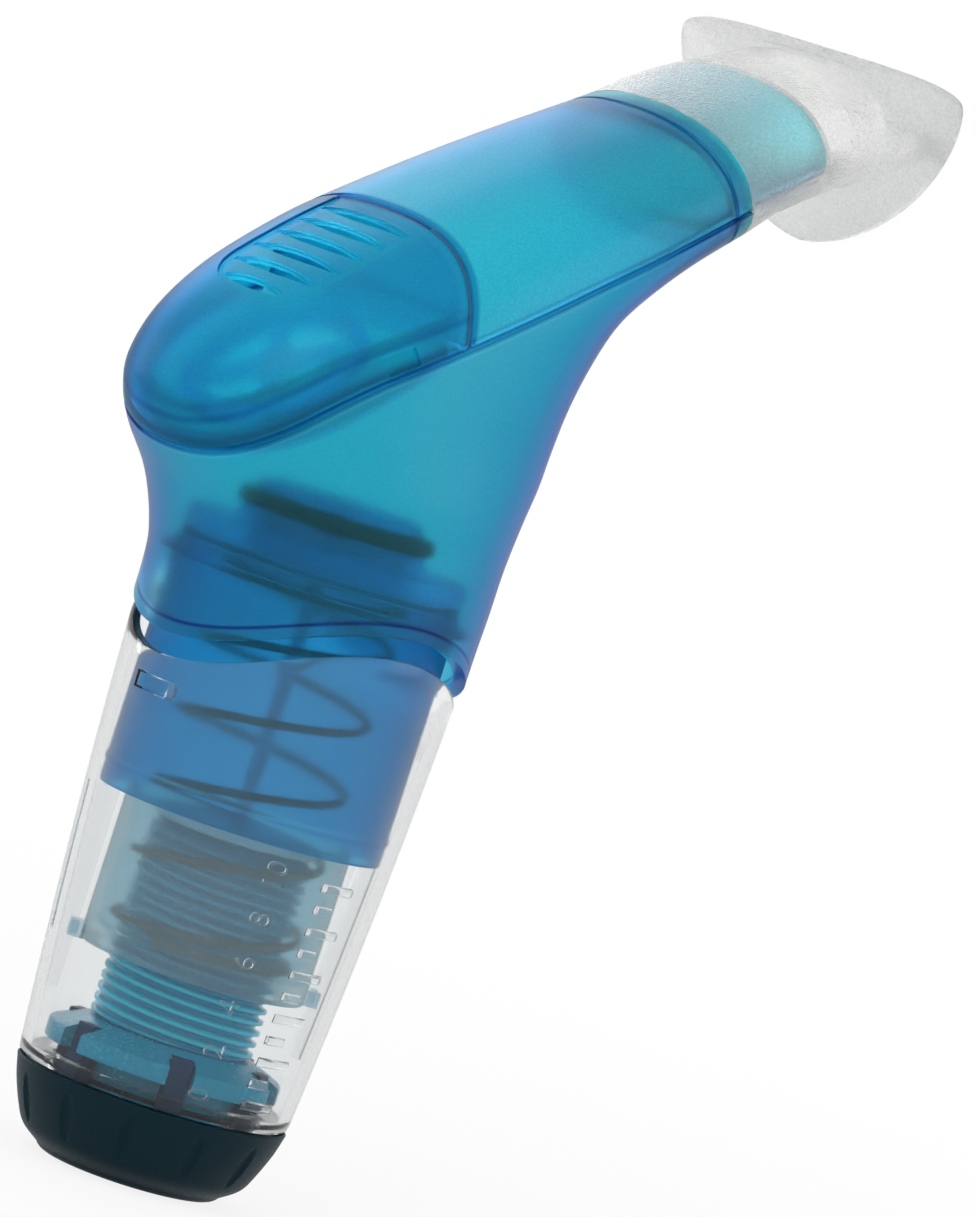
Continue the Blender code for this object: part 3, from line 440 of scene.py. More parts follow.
class Wiring:
    """A node tree, with short ways to add its nodes and links."""

    def __init__(self, tree: bpy.types.NodeTree) -> None:
        """Keep the tree."""
        self.tree = tree

    def feed(self, socket: Socket, value: Feed) -> None:
        """Give an input a plain value, or link an output to it.

        Args:
            socket: the input.
            value: a number, a tuple or an output.
        """
        if isinstance(value, Socket):
            self.tree.links.new(value, socket)
        else:
            socket.default_value = value

    def add(self, kind: str, feeds: dict, output: str | int = 0, **settings: object) -> Socket:
        """A new node, with its choices made and its inputs fed.

        Args:
            kind: the node's type, without the prefix that all have.
            feeds: what goes into each input, by the input's name or index.
            output: the name or index of the output that is used.
            settings: the node's own choices, such as its operation.

        Returns:
            The output.
        """
        node = self.tree.nodes.new(f"ShaderNode{kind}")
        for name, value in settings.items():
            setattr(node, name, value)
        for name, value in feeds.items():
            self.feed(node.inputs[name], value)
        return node.outputs[output]

    def math(self, operation: str, *values: Feed) -> Socket:
        """One step of arithmetic."""
        return self.add("Math", dict(enumerate(values)), operation=operation)

    def vector(self, operation: str, *values: Feed) -> Socket:
        """One step on vectors, which gives a number for a dot product or a length."""
        output = "Value" if operation in ("DOT_PRODUCT", "LENGTH") else "Vector"
        return self.add("VectorMath", dict(enumerate(values)), output, operation=operation)

    def ramp(
        self,
        value: Feed,
        start: Feed = 0.0,
        stop: Feed = 1.0,
        low: float = 0.0,
        high: float = 1.0,
        soft: bool = False,
    ) -> Socket:
        """A value's span between two numbers, put out as a span between two others.

        Args:
            value: the value.
            start: where its span starts.
            stop: where its span stops.
            low: what is put out up to the start.
            high: what is put out past the stop.
            soft: whether it eases in and out.

        Returns:
            The output.
        """
        feeds = {"Value": value, "From Min": start, "From Max": stop, "To Min": low, "To Max": high}
        return self.add("MapRange", feeds, "Result", interpolation_type="SMOOTHSTEP" if soft else "LINEAR")

    def blend(self, share: Feed, first: Feed, second: Feed, kind: str = "FLOAT") -> Socket:
        """A mix of two numbers, or of two colours if the kind is RGBA."""
        return self.add("Mix", {"Factor": share, "A": first, "B": second}, "Result", data_type=kind)

    def choose(self, test: Socket, above: Socket, below: Socket) -> Socket:
        """One output where a test is above zero, and another elsewhere."""
        return self.blend(self.math("GREATER_THAN", test, 0.0), below, above)

    def place(self) -> Socket:
        """The Object coordinates of a point."""
        return self.add("TexCoord", {}, "Object")

    def shifted(self, origin: tuple) -> Socket:
        """A point's place from an (x, z) origin in millimetres."""
        return self.vector("SUBTRACT", self.place(), (origin[0] * MM, 0.0, origin[1] * MM))

    def along(self, origin: tuple, angle: float) -> Socket:
        """A point's distance from an (x, z) origin along a line at an angle in degrees above +X."""
        lean = math.radians(angle)
        return self.vector("DOT_PRODUCT", self.shifted(origin), (math.cos(lean), 0.0, math.sin(lean)))


def new_group(name: str, inputs: tuple, outputs: tuple) -> tuple[Wiring, bpy.types.Node, bpy.types.Node]:
    """An empty node group whose sockets are all numbers.

    Args:
        name: the group's name.
        inputs: the names of its inputs.
        outputs: the names of its outputs.

    Returns:
        The group's wiring, the node of its inputs and the node of its outputs.
    """
    group = bpy.data.node_groups.new(name, "ShaderNodeTree")
    for way, labels in (("INPUT", inputs), ("OUTPUT", outputs)):
        for label in labels:
            group.interface.new_socket(label, in_out=way, socket_type="NodeSocketFloat")
    return Wiring(group), group.nodes.new("NodeGroupInput"), group.nodes.new("NodeGroupOutput")


# The height of a grain in metres, the coat's roughness, and how far roughness drifts with the grain's tone.
GRAIN_HEIGHT = 0.0003
COAT_ROUGHNESS = 0.28
GLOSS_DRIFT = 0.15
# The scale of the wide clouds in a tone, the span of noise that its speckles take up, and their share in it.
CLOUD_SCALE = 60.0
SPECKLE_SPAN = (0.36, 0.64)
SPECKLE_SHARE = 0.7
GRAIN_STRETCH = {
    Grain.SPARK: (1.0, 1.0, 1.0),
    Grain.FLOW: (1.0, 1.0, 0.12),
    Grain.FROST: (1.0, 1.0, 1.0),
    Grain.DRAWN: (0.15, 0.15, 1.0),
}
# The roughness of the end that isn't frosted, and its share of the grain's depth.
CLEAR_END_ROUGHNESS = 0.16
CLEAR_END_GRAIN = 0.5
# Colours and strengths of the painted lines: painted shade along the joints, painted shade over the rim inside
# the cap, painted highlights on edges, and painted shade at the thread's root.
# Painted shade: dark navy lines along the seams, the collar groove and the skirt's step stand for the shade in
# them and their walls seen edge on.
JOINT_SHADE_COLOUR = (0.01, 0.09, 0.36)
JOINT_SHADE = 0.92
# Painted shade on the cap where the rim of the lower shell stands behind its wall.
LIP_SHADE = 0.5
# Painted highlight: a pale line just below the seam and one near the cap's rear edge stand for the light those
# edges catch.
EDGE_HIGHLIGHT_COLOUR = (0.50, 1.0, 1.0)
EDGE_HIGHLIGHT_STRENGTH = 0.85
# Painted shade in the thread's root, strongest where the groove is deepest.
ROOT_SHADE_COLOUR = (0.005, 0.12, 0.34)
ROOT_SHADE = 0.6


@dataclass(frozen=True)
class Finish:
    """A material: its colour, gloss and clearness, and the grain of its surface."""

    name: str
    slot: str
    colour: tuple
    roughness: float
    grain: Grain = Grain.SPARK
    grain_scale: float = 1800.0
    grain_depth: float = 0.10
    tone: float = 0.06
    metallic: float = 0.0
    transmission: float = 0.0
    ior: float = 1.45
    specular: float = 0.5
    coat: float = 0.0
    absorb: tuple = (1.0, 1.0, 1.0)
    density: float = 0.0
    frost_start: float = 0.0
    frost_stop: float = 0.0


@dataclass(frozen=True)
class TintLine:
    """A soft line of painted light on a piece, painted shade when its colour is dark and a painted highlight
    when it is light: its distance from a joint, and its half width.
    """

    middle: float
    reach: float
    strength: float = JOINT_SHADE
    colour: tuple = JOINT_SHADE_COLOUR

    def paint(self, wiring: Wiring, distance: Socket) -> None:
        """Mix the line's painted shade, or its painted highlight, into a material's base colour: its strength
        eases off to nothing at its half width.

        Args:
            wiring: the material's nodes.
            distance: the distance from the joint in metres.
        """
        off = wiring.math("ABSOLUTE", wiring.math("SUBTRACT", distance, self.middle * MM))
        share = wiring.ramp(off, stop=self.reach * MM, low=self.strength, high=0.0, soft=True)
        base = wiring.tree.nodes["Principled BSDF"].inputs["Base Color"]
        wiring.feed(base, wiring.blend(share, base.links[0].from_socket, (*self.colour, 1.0), "RGBA"))


def grain_group(grain: Grain) -> bpy.types.NodeTree:
    """The node group of a surface grain, made once: a height for bump, and a tone from 0 to 1.

    Args:
        grain: the kind of surface.

    Returns:
        The group, with the input Scale and the outputs Height and Tone.
    """
    name = f"grain {grain.value}"
    if name in bpy.data.node_groups:
        return bpy.data.node_groups[name]
    wiring, start, end = new_group(name, ("Scale",), ("Height", "Tone"))
    place = wiring.place()
    stretched = wiring.add("Mapping", {"Vector": place, "Scale": GRAIN_STRETCH[grain]})
    pattern = {"Vector": stretched, "Scale": start.outputs["Scale"]}
    if grain is Grain.FROST:
        height = wiring.add("TexVoronoi", pattern, "Distance")
    else:
        height = wiring.add("TexNoise", {**pattern, "Detail": 3.0}, "Fac")
    cloud = wiring.add("TexNoise", {"Vector": place, "Scale": CLOUD_SCALE, "Detail": 2.0}, "Fac")
    speckle = wiring.add("TexNoise", {**pattern, "Detail": 1.0}, "Fac")
    tone = wiring.blend(SPECKLE_SHARE, cloud, wiring.ramp(speckle, *SPECKLE_SPAN))
    wiring.feed(end.inputs["Height"], height)
    wiring.feed(end.inputs["Tone"], tone)
    return wiring.tree


def frost_group() -> bpy.types.NodeTree:
    """The node group of a frosted end, made once: a mask from 0 to 1 between two distances along X.

    Returns:
        The group, with inputs Start and Stop in metres and the output Mask.
    """
    name = "frosted end"
    if name in bpy.data.node_groups:
        return bpy.data.node_groups[name]
    wiring, start, end = new_group(name, ("Start", "Stop"), ("Mask",))
    along = wiring.add("SeparateXYZ", {"Vector": wiring.place()}, "X")
    mask = wiring.ramp(along, start.outputs["Start"], start.outputs["Stop"], soft=True)
    wiring.feed(end.inputs["Mask"], mask)
    return wiring.tree


def frost_end(wiring: Wiring, finish: Finish, gloss: Socket, bump: bpy.types.Node) -> None:
    """Keep a finish's roughness and grain to its frosted end, and leave the rest nearly clear.

    Args:
        wiring: the material's nodes.
        finish: its finish.
        gloss: the roughness that frosting adds.
        bump: the node that gives the grain's normal.
    """
    ends = {"Start": finish.frost_start * MM, "Stop": finish.frost_stop * MM}
    mask = wiring.add("Group", ends, "Mask", node_tree=frost_group())
    rough = wiring.math("MULTIPLY_ADD", mask, gloss, CLEAR_END_ROUGHNESS)
    wiring.feed(wiring.tree.nodes["Principled BSDF"].inputs["Roughness"], rough)
    clear, frosted = finish.grain_depth * CLEAR_END_GRAIN, finish.grain_depth * (1.0 - CLEAR_END_GRAIN)
    wiring.feed(bump.inputs["Strength"], wiring.math("MULTIPLY_ADD", mask, frosted, clear))


def material_of(finish: Finish) -> bpy.types.Material:
    """The material of a finish, made once.

    Args:
        finish: the finish.

    Returns:
        A Principled material whose colour and roughness drift with the grain's tone.
    """
    if finish.name in bpy.data.materials:
        return bpy.data.materials[finish.name]
    material = bpy.data.materials.new(finish.name)
    material.use_nodes = True
    wiring = Wiring(material.node_tree)
    nodes = material.node_tree.nodes
    shader = nodes["Principled BSDF"]
    shader.inputs["Metallic"].default_value = finish.metallic
    shader.inputs["Transmission Weight"].default_value = finish.transmission
    shader.inputs["IOR"].default_value = finish.ior
    shader.inputs["Specular IOR Level"].default_value = finish.specular
    shader.inputs["Coat Weight"].default_value = finish.coat
    shader.inputs["Coat Roughness"].default_value = COAT_ROUGHNESS
    if finish.density > 0.0:
        absorbing = {"Color": (*finish.absorb, 1.0), "Density": finish.density}
        wiring.feed(nodes["Material Output"].inputs["Volume"], wiring.add("VolumeAbsorption", absorbing))

    grain = {"Scale": finish.grain_scale}
    height = wiring.add("Group", grain, "Height", node_tree=grain_group(finish.grain))
    tone = height.node.outputs["Tone"]
    relief = {"Strength": finish.grain_depth, "Distance": GRAIN_HEIGHT, "Height": height}
    normal = wiring.add("Bump", relief, "Normal")
    wiring.feed(shader.inputs["Normal"], normal)

    dark = (*[value * (1 - finish.tone) for value in finish.colour], 1.0)
    light = (*[min(value * (1 + finish.tone), 1.0) for value in finish.colour], 1.0)
    wiring.feed(shader.inputs["Base Color"], wiring.blend(tone, dark, light, "RGBA"))
    low, high = finish.roughness * (1 - GLOSS_DRIFT), min(finish.roughness * (1 + GLOSS_DRIFT), 1.0)
    gloss = wiring.ramp(tone, low=low, high=high)
    wiring.feed(shader.inputs["Roughness"], gloss)
    if finish.frost_stop > finish.frost_start:
        frost_end(wiring, finish, gloss, normal.node)
    return material


DEEP_BLUE = (0.05, 0.18, 0.77)
SHELL = Finish("translucent_blue_shell", "blue_shell", (0.14, 0.80, 0.77), 0.33, grain_scale=2600.0,
               grain_depth=0.08, tone=0.07, coat=0.22, transmission=0.96, ior=1.08, specular=0.2,
               absorb=DEEP_BLUE, density=165.0)
# Painted shade: a darker, bluer copy of the shell's plastic, for the spigot seen inside the tube behind doubled
# walls.
SPIGOT = Finish("translucent_blue_spigot", "blue_shell", (0.13, 0.62, 0.84), 0.40, grain_scale=2600.0,
                grain_depth=0.03, tone=0.03, coat=0.08, transmission=0.92, ior=1.08, specular=0.2,
                absorb=(0.06, 0.25, 0.66), density=150.0)
COVER = Finish("translucent_blue_cover", "blue_cover", (0.15, 0.90, 0.86), 0.34, grain_scale=2600.0,
               grain_depth=0.22, tone=0.12, coat=0.15, transmission=0.92, ior=1.08, specular=0.2,
               absorb=DEEP_BLUE, density=170.0)
CAP = Finish("translucent_blue_cap", "blue_cap", (0.09, 0.96, 0.98), 0.33, grain_scale=2600.0,
             grain_depth=0.22, tone=0.12, coat=0.06, transmission=0.92, ior=1.08, specular=0.2,
             absorb=DEEP_BLUE, density=200.0)
POST = Finish("cyan_post_plastic", "cyan_post", (0.06, 0.70, 0.90), 0.20, transmission=0.5, ior=1.30)
BASE = Finish("blue_post_base", "cyan_post", (0.012, 0.29, 0.46), 0.25, transmission=0.15, ior=1.25)
VALVE = Finish("blue_valve_plastic", "blue_valve_parts", (0.14, 0.58, 0.98), 0.34, transmission=0.80,
               ior=1.15)
CLEAR = Finish("clear_tube_plastic", "clear_tube", (0.97, 0.98, 0.98), 0.07, Grain.FLOW, 260.0, 0.002, 0.01,
               transmission=0.985, ior=1.22, absorb=(0.5, 0.51, 0.52), density=85.0)
GREY = Finish("grey_carrier_plastic", "grey_carrier", (0.60, 0.80, 0.88), 0.33, transmission=0.89, ior=1.10,
              absorb=(0.52, 0.53, 0.52), density=40.0)
RUBBER = Finish("black_seal_rubber", "black_rubber", (0.006, 0.008, 0.012), 0.60, grain_scale=2600.0)
GASKET = Finish("blue_black_gasket", "black_rubber", (0.10, 0.34, 0.56), 0.50, transmission=0.8, ior=1.1)
STEM = Finish("valve_stem_steel", "spring_steel", (0.42, 0.46, 0.55), 0.30, Grain.DRAWN, 1500.0,
              metallic=1.0)
STEEL = Finish("spring_wire_steel", "spring_steel", (0.13, 0.11, 0.09), 0.38, Grain.DRAWN, 1500.0,
               metallic=1.0)
TEAL = Finish("dark_teal_plastic", "dark_teal", (0.005, 0.021, 0.030), 0.48, grain_scale=2400.0, ior=1.16)
DOG = Finish("dark_blue_dogs", "dark_teal", (0.004, 0.035, 0.09), 0.45, ior=1.2)
WHITE = Finish("white_guide_acetal", "white_acetal", (0.70, 0.73, 0.74), 0.45)
SILICONE = Finish("mouthpiece_silicone", "frosted_silicone", (0.90, 0.91, 0.90), 0.28, Grain.FROST, 2300.0,
                  0.8, 0.11, transmission=0.86, ior=1.16, absorb=(0.55, 0.56, 0.55), density=32.0,
                  frost_start=58.0, frost_stop=62.5)
PALE = Finish("pale_flap_silicone", "frosted_silicone", (0.80, 0.88, 0.90), 0.34, Grain.FROST, 1800.0, 0.15,
              transmission=0.9, ior=1.15)


def dress(obj: bpy.types.Object, finish: Finish) -> None:
    """Give an object one material.

    Args:
        obj: the object.
        finish: its finish.
    """
    obj.data.materials.clear()
    obj.data.materials.append(material_of(finish))


def settle(obj: bpy.types.Object, finish: Finish, body: Body, *nodes: str, angle: float = SHARP) -> None:
    """Shade, dress and hand over a finished piece.

    Args:
        obj: the piece.
        finish: its material.
        body: the body that it rides on.
        nodes: the CAD nodes that it stands for.
        angle: edges sharper than this many degrees stay sharp.
    """
    smooth(obj, angle)
    dress(obj, finish)
    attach(obj, body.value)
    if nodes:
        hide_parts(*nodes)
    LOG.info("%s: %d faces, on %s", obj.name, len(obj.data.polygons), body.value)


# Handle


@dataclass
class Handle:
    """The moulded handle: lower shell with tube spigot and deck, top cover, and vented cap."""

    radius: float = 25.6
    wall: float = 2.0
    bulb_reach: float = 39.87
    bulb_z: float = 114.0
    bulb_half_width: float = 25.6
    arm_angle: float = 36.0
    collar_x: float = 39.5
    collar_z: float = 166.4
    collar_half_height: float = 11.2
    collar_half_width: float = 21.3
    collar_squareness: float = 2.3
    neck_length: float = 17.0
    neck_step: float = 2.4
    neck_wall: float = 1.6
    neck_break: float = 0.4
    seam_drop: float = 2.5
    seam_angle: float = 33.1
    seam_straight: float = 68.0
    seam_arc_r: float = 64.3
    seam_turn: float = 26.8
    seam_tail: float = 14.0
    cap_from_collar: float = 57.3
    cap_lean: float = 25.5
    bulkhead: float = 1.8
    bulkhead_gap: float = 0.2
    ridge_rows: tuple = (10, 8)
    slot_pitch: float = 4.3
    slot_first: float = 4.9
    slot_length: float = 19.5
    slot_width: float = 1.7
    slot_end: float = 0.02
    slot_reach: float = 6.0
    slot_rim: float = 0.35
    slot_rim_depth: float = 0.5
    slot_shares: tuple = (1.0, 1.0, 1.0, 1.0, 0.93, 0.68)
    step: float = 0.35
    step_end: float = -0.4
    recess_depth: float = 0.7
    recess_aside: float = 1.6
    recess_below: float = 2.6
    recess_round: float = 0.75
    recess_reach: float = 8.0
    snap_start: float = -71.5
    snap_stop: float = -66.0
    snap_low: float = 0.6
    snap_high: float = 3.4
    snap_depth: float = 0.9
    snap_inside: float = 10.0
    snap_outside: float = 40.0
    groove: float = 0.45
    groove_back: float = 3.25
    rim_z: float = 81.6
    rim_wave: float = 4.9
    shadow_gap: float = 3.4
    spigot_r: float = 21.8
    spigot_wall: float = 1.8
    spigot_bottom: float = 55.3
    spigot_top: float = 93.9
    bead: float = 0.35
    bead_half_width: float = 0.6
    bead_up: float = 3.8
    web_z: float = 91.2
    web: float = 2.0
    lug_z: float = 72.0
    lug_width: float = 7.0
    lug_height: float = 2.0
    lug_reach: float = 2.3
    lug_gap: float = 0.05
    deck: float = 1.0
    tongue: float = 1.2
    tongue_root: float = -1.4
    tongue_foot: float = -0.5
    tongue_back: float = 1.0
    tongue_foot_back: float = 1.1
    tongue_height: float = 4.3
    deck_drop: float = 0.5
    deck_angle: float = 42.5
    exhale_setback: float = 17.6
    port_r: float = 12.2
    port_low: float = -8.0
    port_high: float = 6.0
    rows: int = 72
    cols: int = 112
    seam_points: int = 16
    slot_points: int = 21
    recess_points: int = 20

    def arm(self, along: float, up: float) -> tuple:
        """The (x, z) of a point given from the collar's centre, along the arm and up out of it."""
        return on_line((self.collar_x, self.collar_z), self.arm_angle, along, up)

    def on_seam(self, along: float, up: float) -> tuple:
        """The (x, z) of a point given from below the collar's centre, along the seam and up out of it."""
        return on_line(self.arm(0.0, -self.seam_drop), self.seam_angle, along, up)

    def on_deck(self, along: float, up: float) -> tuple:
        """The (x, z) of a point given from the deck's end at the bulkhead, along its top and up."""
        return on_line(self.on_seam(-self.cap_from_collar, -self.deck_drop), self.deck_angle, along, up)

    def stations(self) -> list:
        """The ovals that the handle's skin runs through, from below the skirt to the collar.

        Returns:
            Rows of front x, z, back x, z, half width and squareness.
        """
        r, z, wide, reach = self.radius, self.bulb_z, self.bulb_half_width, self.bulb_reach
        low = self.rim_z - self.rim_wave - self.shadow_gap
        front = self.arm(0.0, self.collar_half_height)
        back = self.arm(0.0, -self.collar_half_height)
        collar = self.collar_half_width
        return [
            (-r, low, r, low, r, 2.0),
            (-r, z - 26.0, r, z - 26.0, r, 2.0),
            (-r - 1.2, z - 20.0, r + 0.1, z - 18.0, r, 2.05),
            (-r - 5.2, z - 12.9, r + 0.4, z - 11.0, r, 2.1),
            (-reach + 3.7, z - 7.0, r + 0.9, z - 4.0, wide + 0.3, 2.2),
            (-reach + 0.9, z - 2.4, r + 1.6, z + 2.0, wide + 0.1, 2.3),
            (-reach + 0.2, z + 2.9, r + 1.5, z + 7.2, wide - 0.1, 2.4),
            (-reach + 3.2, z + 10.4, r + 1.5, z + 14.0, wide - 0.3, 2.5),
            (-reach + 9.5, z + 18.5, r + 2.6, z + 20.7, wide - 0.5, 2.5),
            (-reach + 19.1, z + 26.7, r + 4.5, z + 27.5, wide - 0.8, 2.5),
            (-reach + 28.7, z + 33.7, r + 7.8, z + 32.4, wide - 1.4, 2.5),
            (front[0] - 23.8, front[1] - 14.6, back[0] - 6.8, back[1] - 4.9, collar + 2.0, 2.4),
            (*front, *back, collar, self.collar_squareness),
        ]

    def skin(self, inset: float) -> Array:
        """Rings of the handle's skin, moved inwards.

        Args:
            inset: how far inwards.

        Returns:
            An array of rings, points and x, y, z.
        """
        table = through(self.stations(), self.rows)
        front, back = table[:, 0:2], table[:, 2:4]
        chord = front - back
        step = chord / np.linalg.norm(chord, axis=1, keepdims=True) * inset
        return oval(front - step, back + step, table[:, 4] - inset, table[:, 5], self.cols)

    def neck(self, along: float, inset: float) -> Array:
        """A ring of the mouth neck: the collar's oval, moved inwards.

        Args:
            along: how far from the collar.
            inset: how far inwards.

        Returns:
            An array of one ring, points and x, y, z.
        """
        reach = self.collar_half_height - inset
        front = np.array([self.arm(along, reach)])
        back = np.array([self.arm(along, -reach)])
        half_width, squareness = np.array([[self.collar_half_width - inset], [self.collar_squareness]])
        return oval(front, back, half_width, squareness, self.cols)

    def outside(self, name: str) -> bpy.types.Object:
        """The solid of the whole handle with its stepped-down neck.

        Args:
            name: the object's name.

        Returns:
            The new object.
        """
        step, reach, bevel = self.neck_step, self.neck_length, self.neck_break
        ends = [self.neck(0.0, step), self.neck(reach - bevel, step), self.neck(reach, step + bevel)]
        return solid(name, np.concatenate([self.skin(0.0), *ends]))

    def inside(self, name: str) -> bpy.types.Object:
        """The hollow of the handle, open at the skirt and at the neck's end.

        Args:
            name: the object's name.

        Returns:
            The new object.
        """
        rings = self.skin(self.wall)[:-1]
        below = rings[:1] - np.array([0.0, 0.0, OVERSHOOT])
        bore = self.neck_step + self.neck_wall
        ends = [self.neck(-PAST, bore), self.neck(self.neck_length + OVERSHOOT, bore)]
        return solid(name, np.concatenate([below, rings, *ends]))

    def layer(self, name: str, inset: float) -> bpy.types.Object:
        """The solid inside the skin at a depth."""
        return solid(name, self.skin(inset))

    def sawn(self, name: str, outline: list) -> bpy.types.Object:
        """A block that takes in the handle's whole width, from an (x, z) outline."""
        return prism(name, outline, 2 * self.bulb_half_width)

    def seam(self, offset: float) -> list:
        """The seam from past the neck to past the bulb's front: a line, an arc and a line.

        Args:
            offset: how far up the line is moved.

        Returns:
            Points of (x, z).
        """
        centre = self.on_seam(-self.seam_straight, -self.seam_arc_r)
        start = 90.0 + self.seam_angle
        curve = arc(centre, self.seam_arc_r + offset, start, start + self.seam_turn, self.seam_points)
        tail = on_line(curve[-1], self.seam_angle + self.seam_turn, -self.seam_tail, 0.0)
        return [self.on_seam(self.neck_length + 2 * OVERSHOOT, offset), *curve, tail]

    def above(self, name: str, offset: float) -> bpy.types.Object:
        """All that lies above the seam.

        Args:
            name: the object's name.
            offset: how far up the seam is moved.

        Returns:
            The new object.
        """
        line = self.seam(offset)
        top = self.collar_z + FAR
        return self.sawn(name, [*line, (line[-1][0], top), (line[0][0], top)])

    def slab(self, name: str, start: float, stop: float) -> bpy.types.Object:
        """A slab across the handle that leans as the cap's rear does.

        Args:
            name: the object's name.
            start: its front, as a distance from the collar along the seam.
            stop: its back.

        Returns:
            The new object.
        """
        lean = FAR * math.tan(math.radians(self.cap_lean))
        corners = [(start - lean, -FAR), (stop - lean, -FAR), (stop + lean, FAR), (start + lean, FAR)]
        return self.sawn(name, [self.on_seam(*corner) for corner in corners])

    def shallow(self, cutter: bpy.types.Object, depth: float) -> bpy.types.Object:
        """A cutter without what would go deeper into the skin than a depth."""
        return carve(cutter, (self.layer(f"{cutter.name}_depth", depth), Cut.AWAY))

    def collar_groove(self, name: str) -> bpy.types.Object:
        """A shallow ring cut behind the collar's rim, square to the arm.

        Args:
            name: the object's name.

        Returns:
            The new object.
        """
        low, high = -self.groove_back - self.step, -self.groove_back + self.step
        corners = [(low, -FAR), (high, -FAR), (high, FAR), (low, FAR)]
        return self.shallow(self.sawn(name, [self.arm(*corner) for corner in corners]), self.groove)

    def wave_ring(self, name: str, inner: float, outer: float, flat: float, rise: float) -> bpy.types.Object:
        """A ring between a flat level and the wave z = rim + rise - depth cos 2a.

        Args:
            name: the object's name.
            inner: its inner radius.
            outer: its outer radius.
            flat: the flat level.
            rise: how far the wave lies above the tube's rim.

        Returns:
            The new object.
        """
        angle = circle(FINE)
        wave = self.rim_z + rise - self.rim_wave * np.cos(2 * angle)
        level = np.full_like(wave, flat)
        radius = np.array([[inner], [outer], [outer], [inner]])
        height = np.concatenate([wave, wave, level, level])
        return solid(name, about_axis(radius, angle, height), wrap_rows=True)

    def spigot(self) -> bpy.types.Object:
        """The tube that goes into the clear tube, with its bead and the web that carries it.

        Returns:
            The new object.
        """
        r, inner = self.spigot_r, self.spigot_r - self.spigot_wall
        low, web_r = self.spigot_bottom, self.radius - self.wall - GAP / 4
        bead, half = low + self.bead_up, self.bead_half_width
        web_top = self.web_z + self.web / 2
        corners = [(inner, low), (r, low), (r, bead - half), (r + self.bead, bead), (r, bead + half)]
        corners += [(r, self.web_z), (web_r, self.web_z), (web_r, web_top), (r, web_top)]
        corners += [(r, self.spigot_top), (inner, self.spigot_top)]
        return turned("spigot", eased(corners, radius=0.4), segments=FINE)

    def port_deck(self) -> bpy.types.Object:
        """The deck under the cap, with the exhale valve's port.

        Returns:
            The new object.
        """
        far = -2 * self.bulb_reach
        corners = [(0.0, 0.0), (far, 0.0), (far, -self.deck), (0.0, -self.deck)]
        deck = self.sawn("deck", [self.on_deck(*corner) for corner in corners])
        sides = np.array([(self.port_r, self.port_low), (self.port_r, self.port_high)])
        hole = turned("port", sides, closed=False)
        self.stand_on_deck(hole)
        return carve(deck, (self.layer("deck_edge", self.wall / 2), Cut.KEEP), (hole, Cut.AWAY))

    def cap_tongue(self) -> bpy.types.Object:
        """The rim that stands up inside the cap from the lower shell, seen through the cap's wall.

        Returns:
            The new object.
        """
        inner, outer = self.wall + GAP, self.wall + GAP + self.tongue
        root, front = self.seam(self.tongue_root), -3 * self.cap_from_collar
        back = -self.cap_from_collar - self.bulkhead
        band = self.sawn("tongue", root + self.seam(self.tongue_height)[::-1])
        foot = self.sawn("tongue_foot", root + self.seam(self.tongue_foot)[::-1])
        carve(
            foot,
            (self.layer("foot_outer", self.wall / 2), Cut.KEEP),
            (self.layer("foot_inner", outer - LAP), Cut.AWAY),
            (self.slab("foot_reach", front, back - self.tongue_foot_back), Cut.KEEP),
        )
        return carve(
            band,
            (self.layer("tongue_outer", inner), Cut.KEEP),
            (self.layer("tongue_inner", outer), Cut.AWAY),
            (self.slab("tongue_reach", front, back - self.tongue_back), Cut.KEEP),
            (foot, Cut.JOIN),
        )

    def stand_on_deck(self, obj: bpy.types.Object) -> None:
        """Move a piece that is modelled about Z to the exhale port, square to the deck.

        Args:
            obj: the piece, whose mesh is moved.
        """
        x, z = self.on_deck(-self.exhale_setback, 0.0)
        turn = Matrix.Rotation(-math.radians(self.deck_angle), 4, "Y")
        obj.data.transform(Matrix.Translation((x * MM, 0.0, z * MM)) @ turn)

    def build_body(self) -> None:
        """The lower shell, with the spigot and its lugs as pieces of their own."""
        low = self.rim_z - self.rim_wave - self.shadow_gap - OVERSHOOT
        outer = self.radius + 2 * OVERSHOOT
        body = carve(
            self.outside("handle_shell"),
            (self.inside("body_hollow"), Cut.AWAY),
            (self.above("body_above", -GAP / 2), Cut.AWAY),
            (self.wave_ring("body_below", self.radius / 2, outer, low, self.shadow_gap), Cut.AWAY),
        )
        half, rise = self.lug_width / 2, self.lug_height / 2
        inner, reach = self.spigot_r + self.lug_gap, self.spigot_r + self.lug_reach
        start, stop = (inner, -half, self.lug_z - rise), (reach, half, self.lug_z + rise)
        lugs = [box_solid(f"lug_{turn}", start, stop, turn) for turn in (0.0, 180.0)]
        settle(self.spigot(), SPIGOT, Body.HANDLE)
        settle(joined("spigot_lugs", lugs), CLEAR, Body.HANDLE)
        carve(body, (self.port_deck(), Cut.JOIN), (self.cap_tongue(), Cut.JOIN))
        edge = self.seam_step("body_step", -GAP / 2 - self.step, PAST)
        carve(body, (edge, Cut.AWAY), (self.collar_groove("body_groove"), Cut.AWAY))
        settle(body, SHELL, Body.HANDLE, "handle_body")
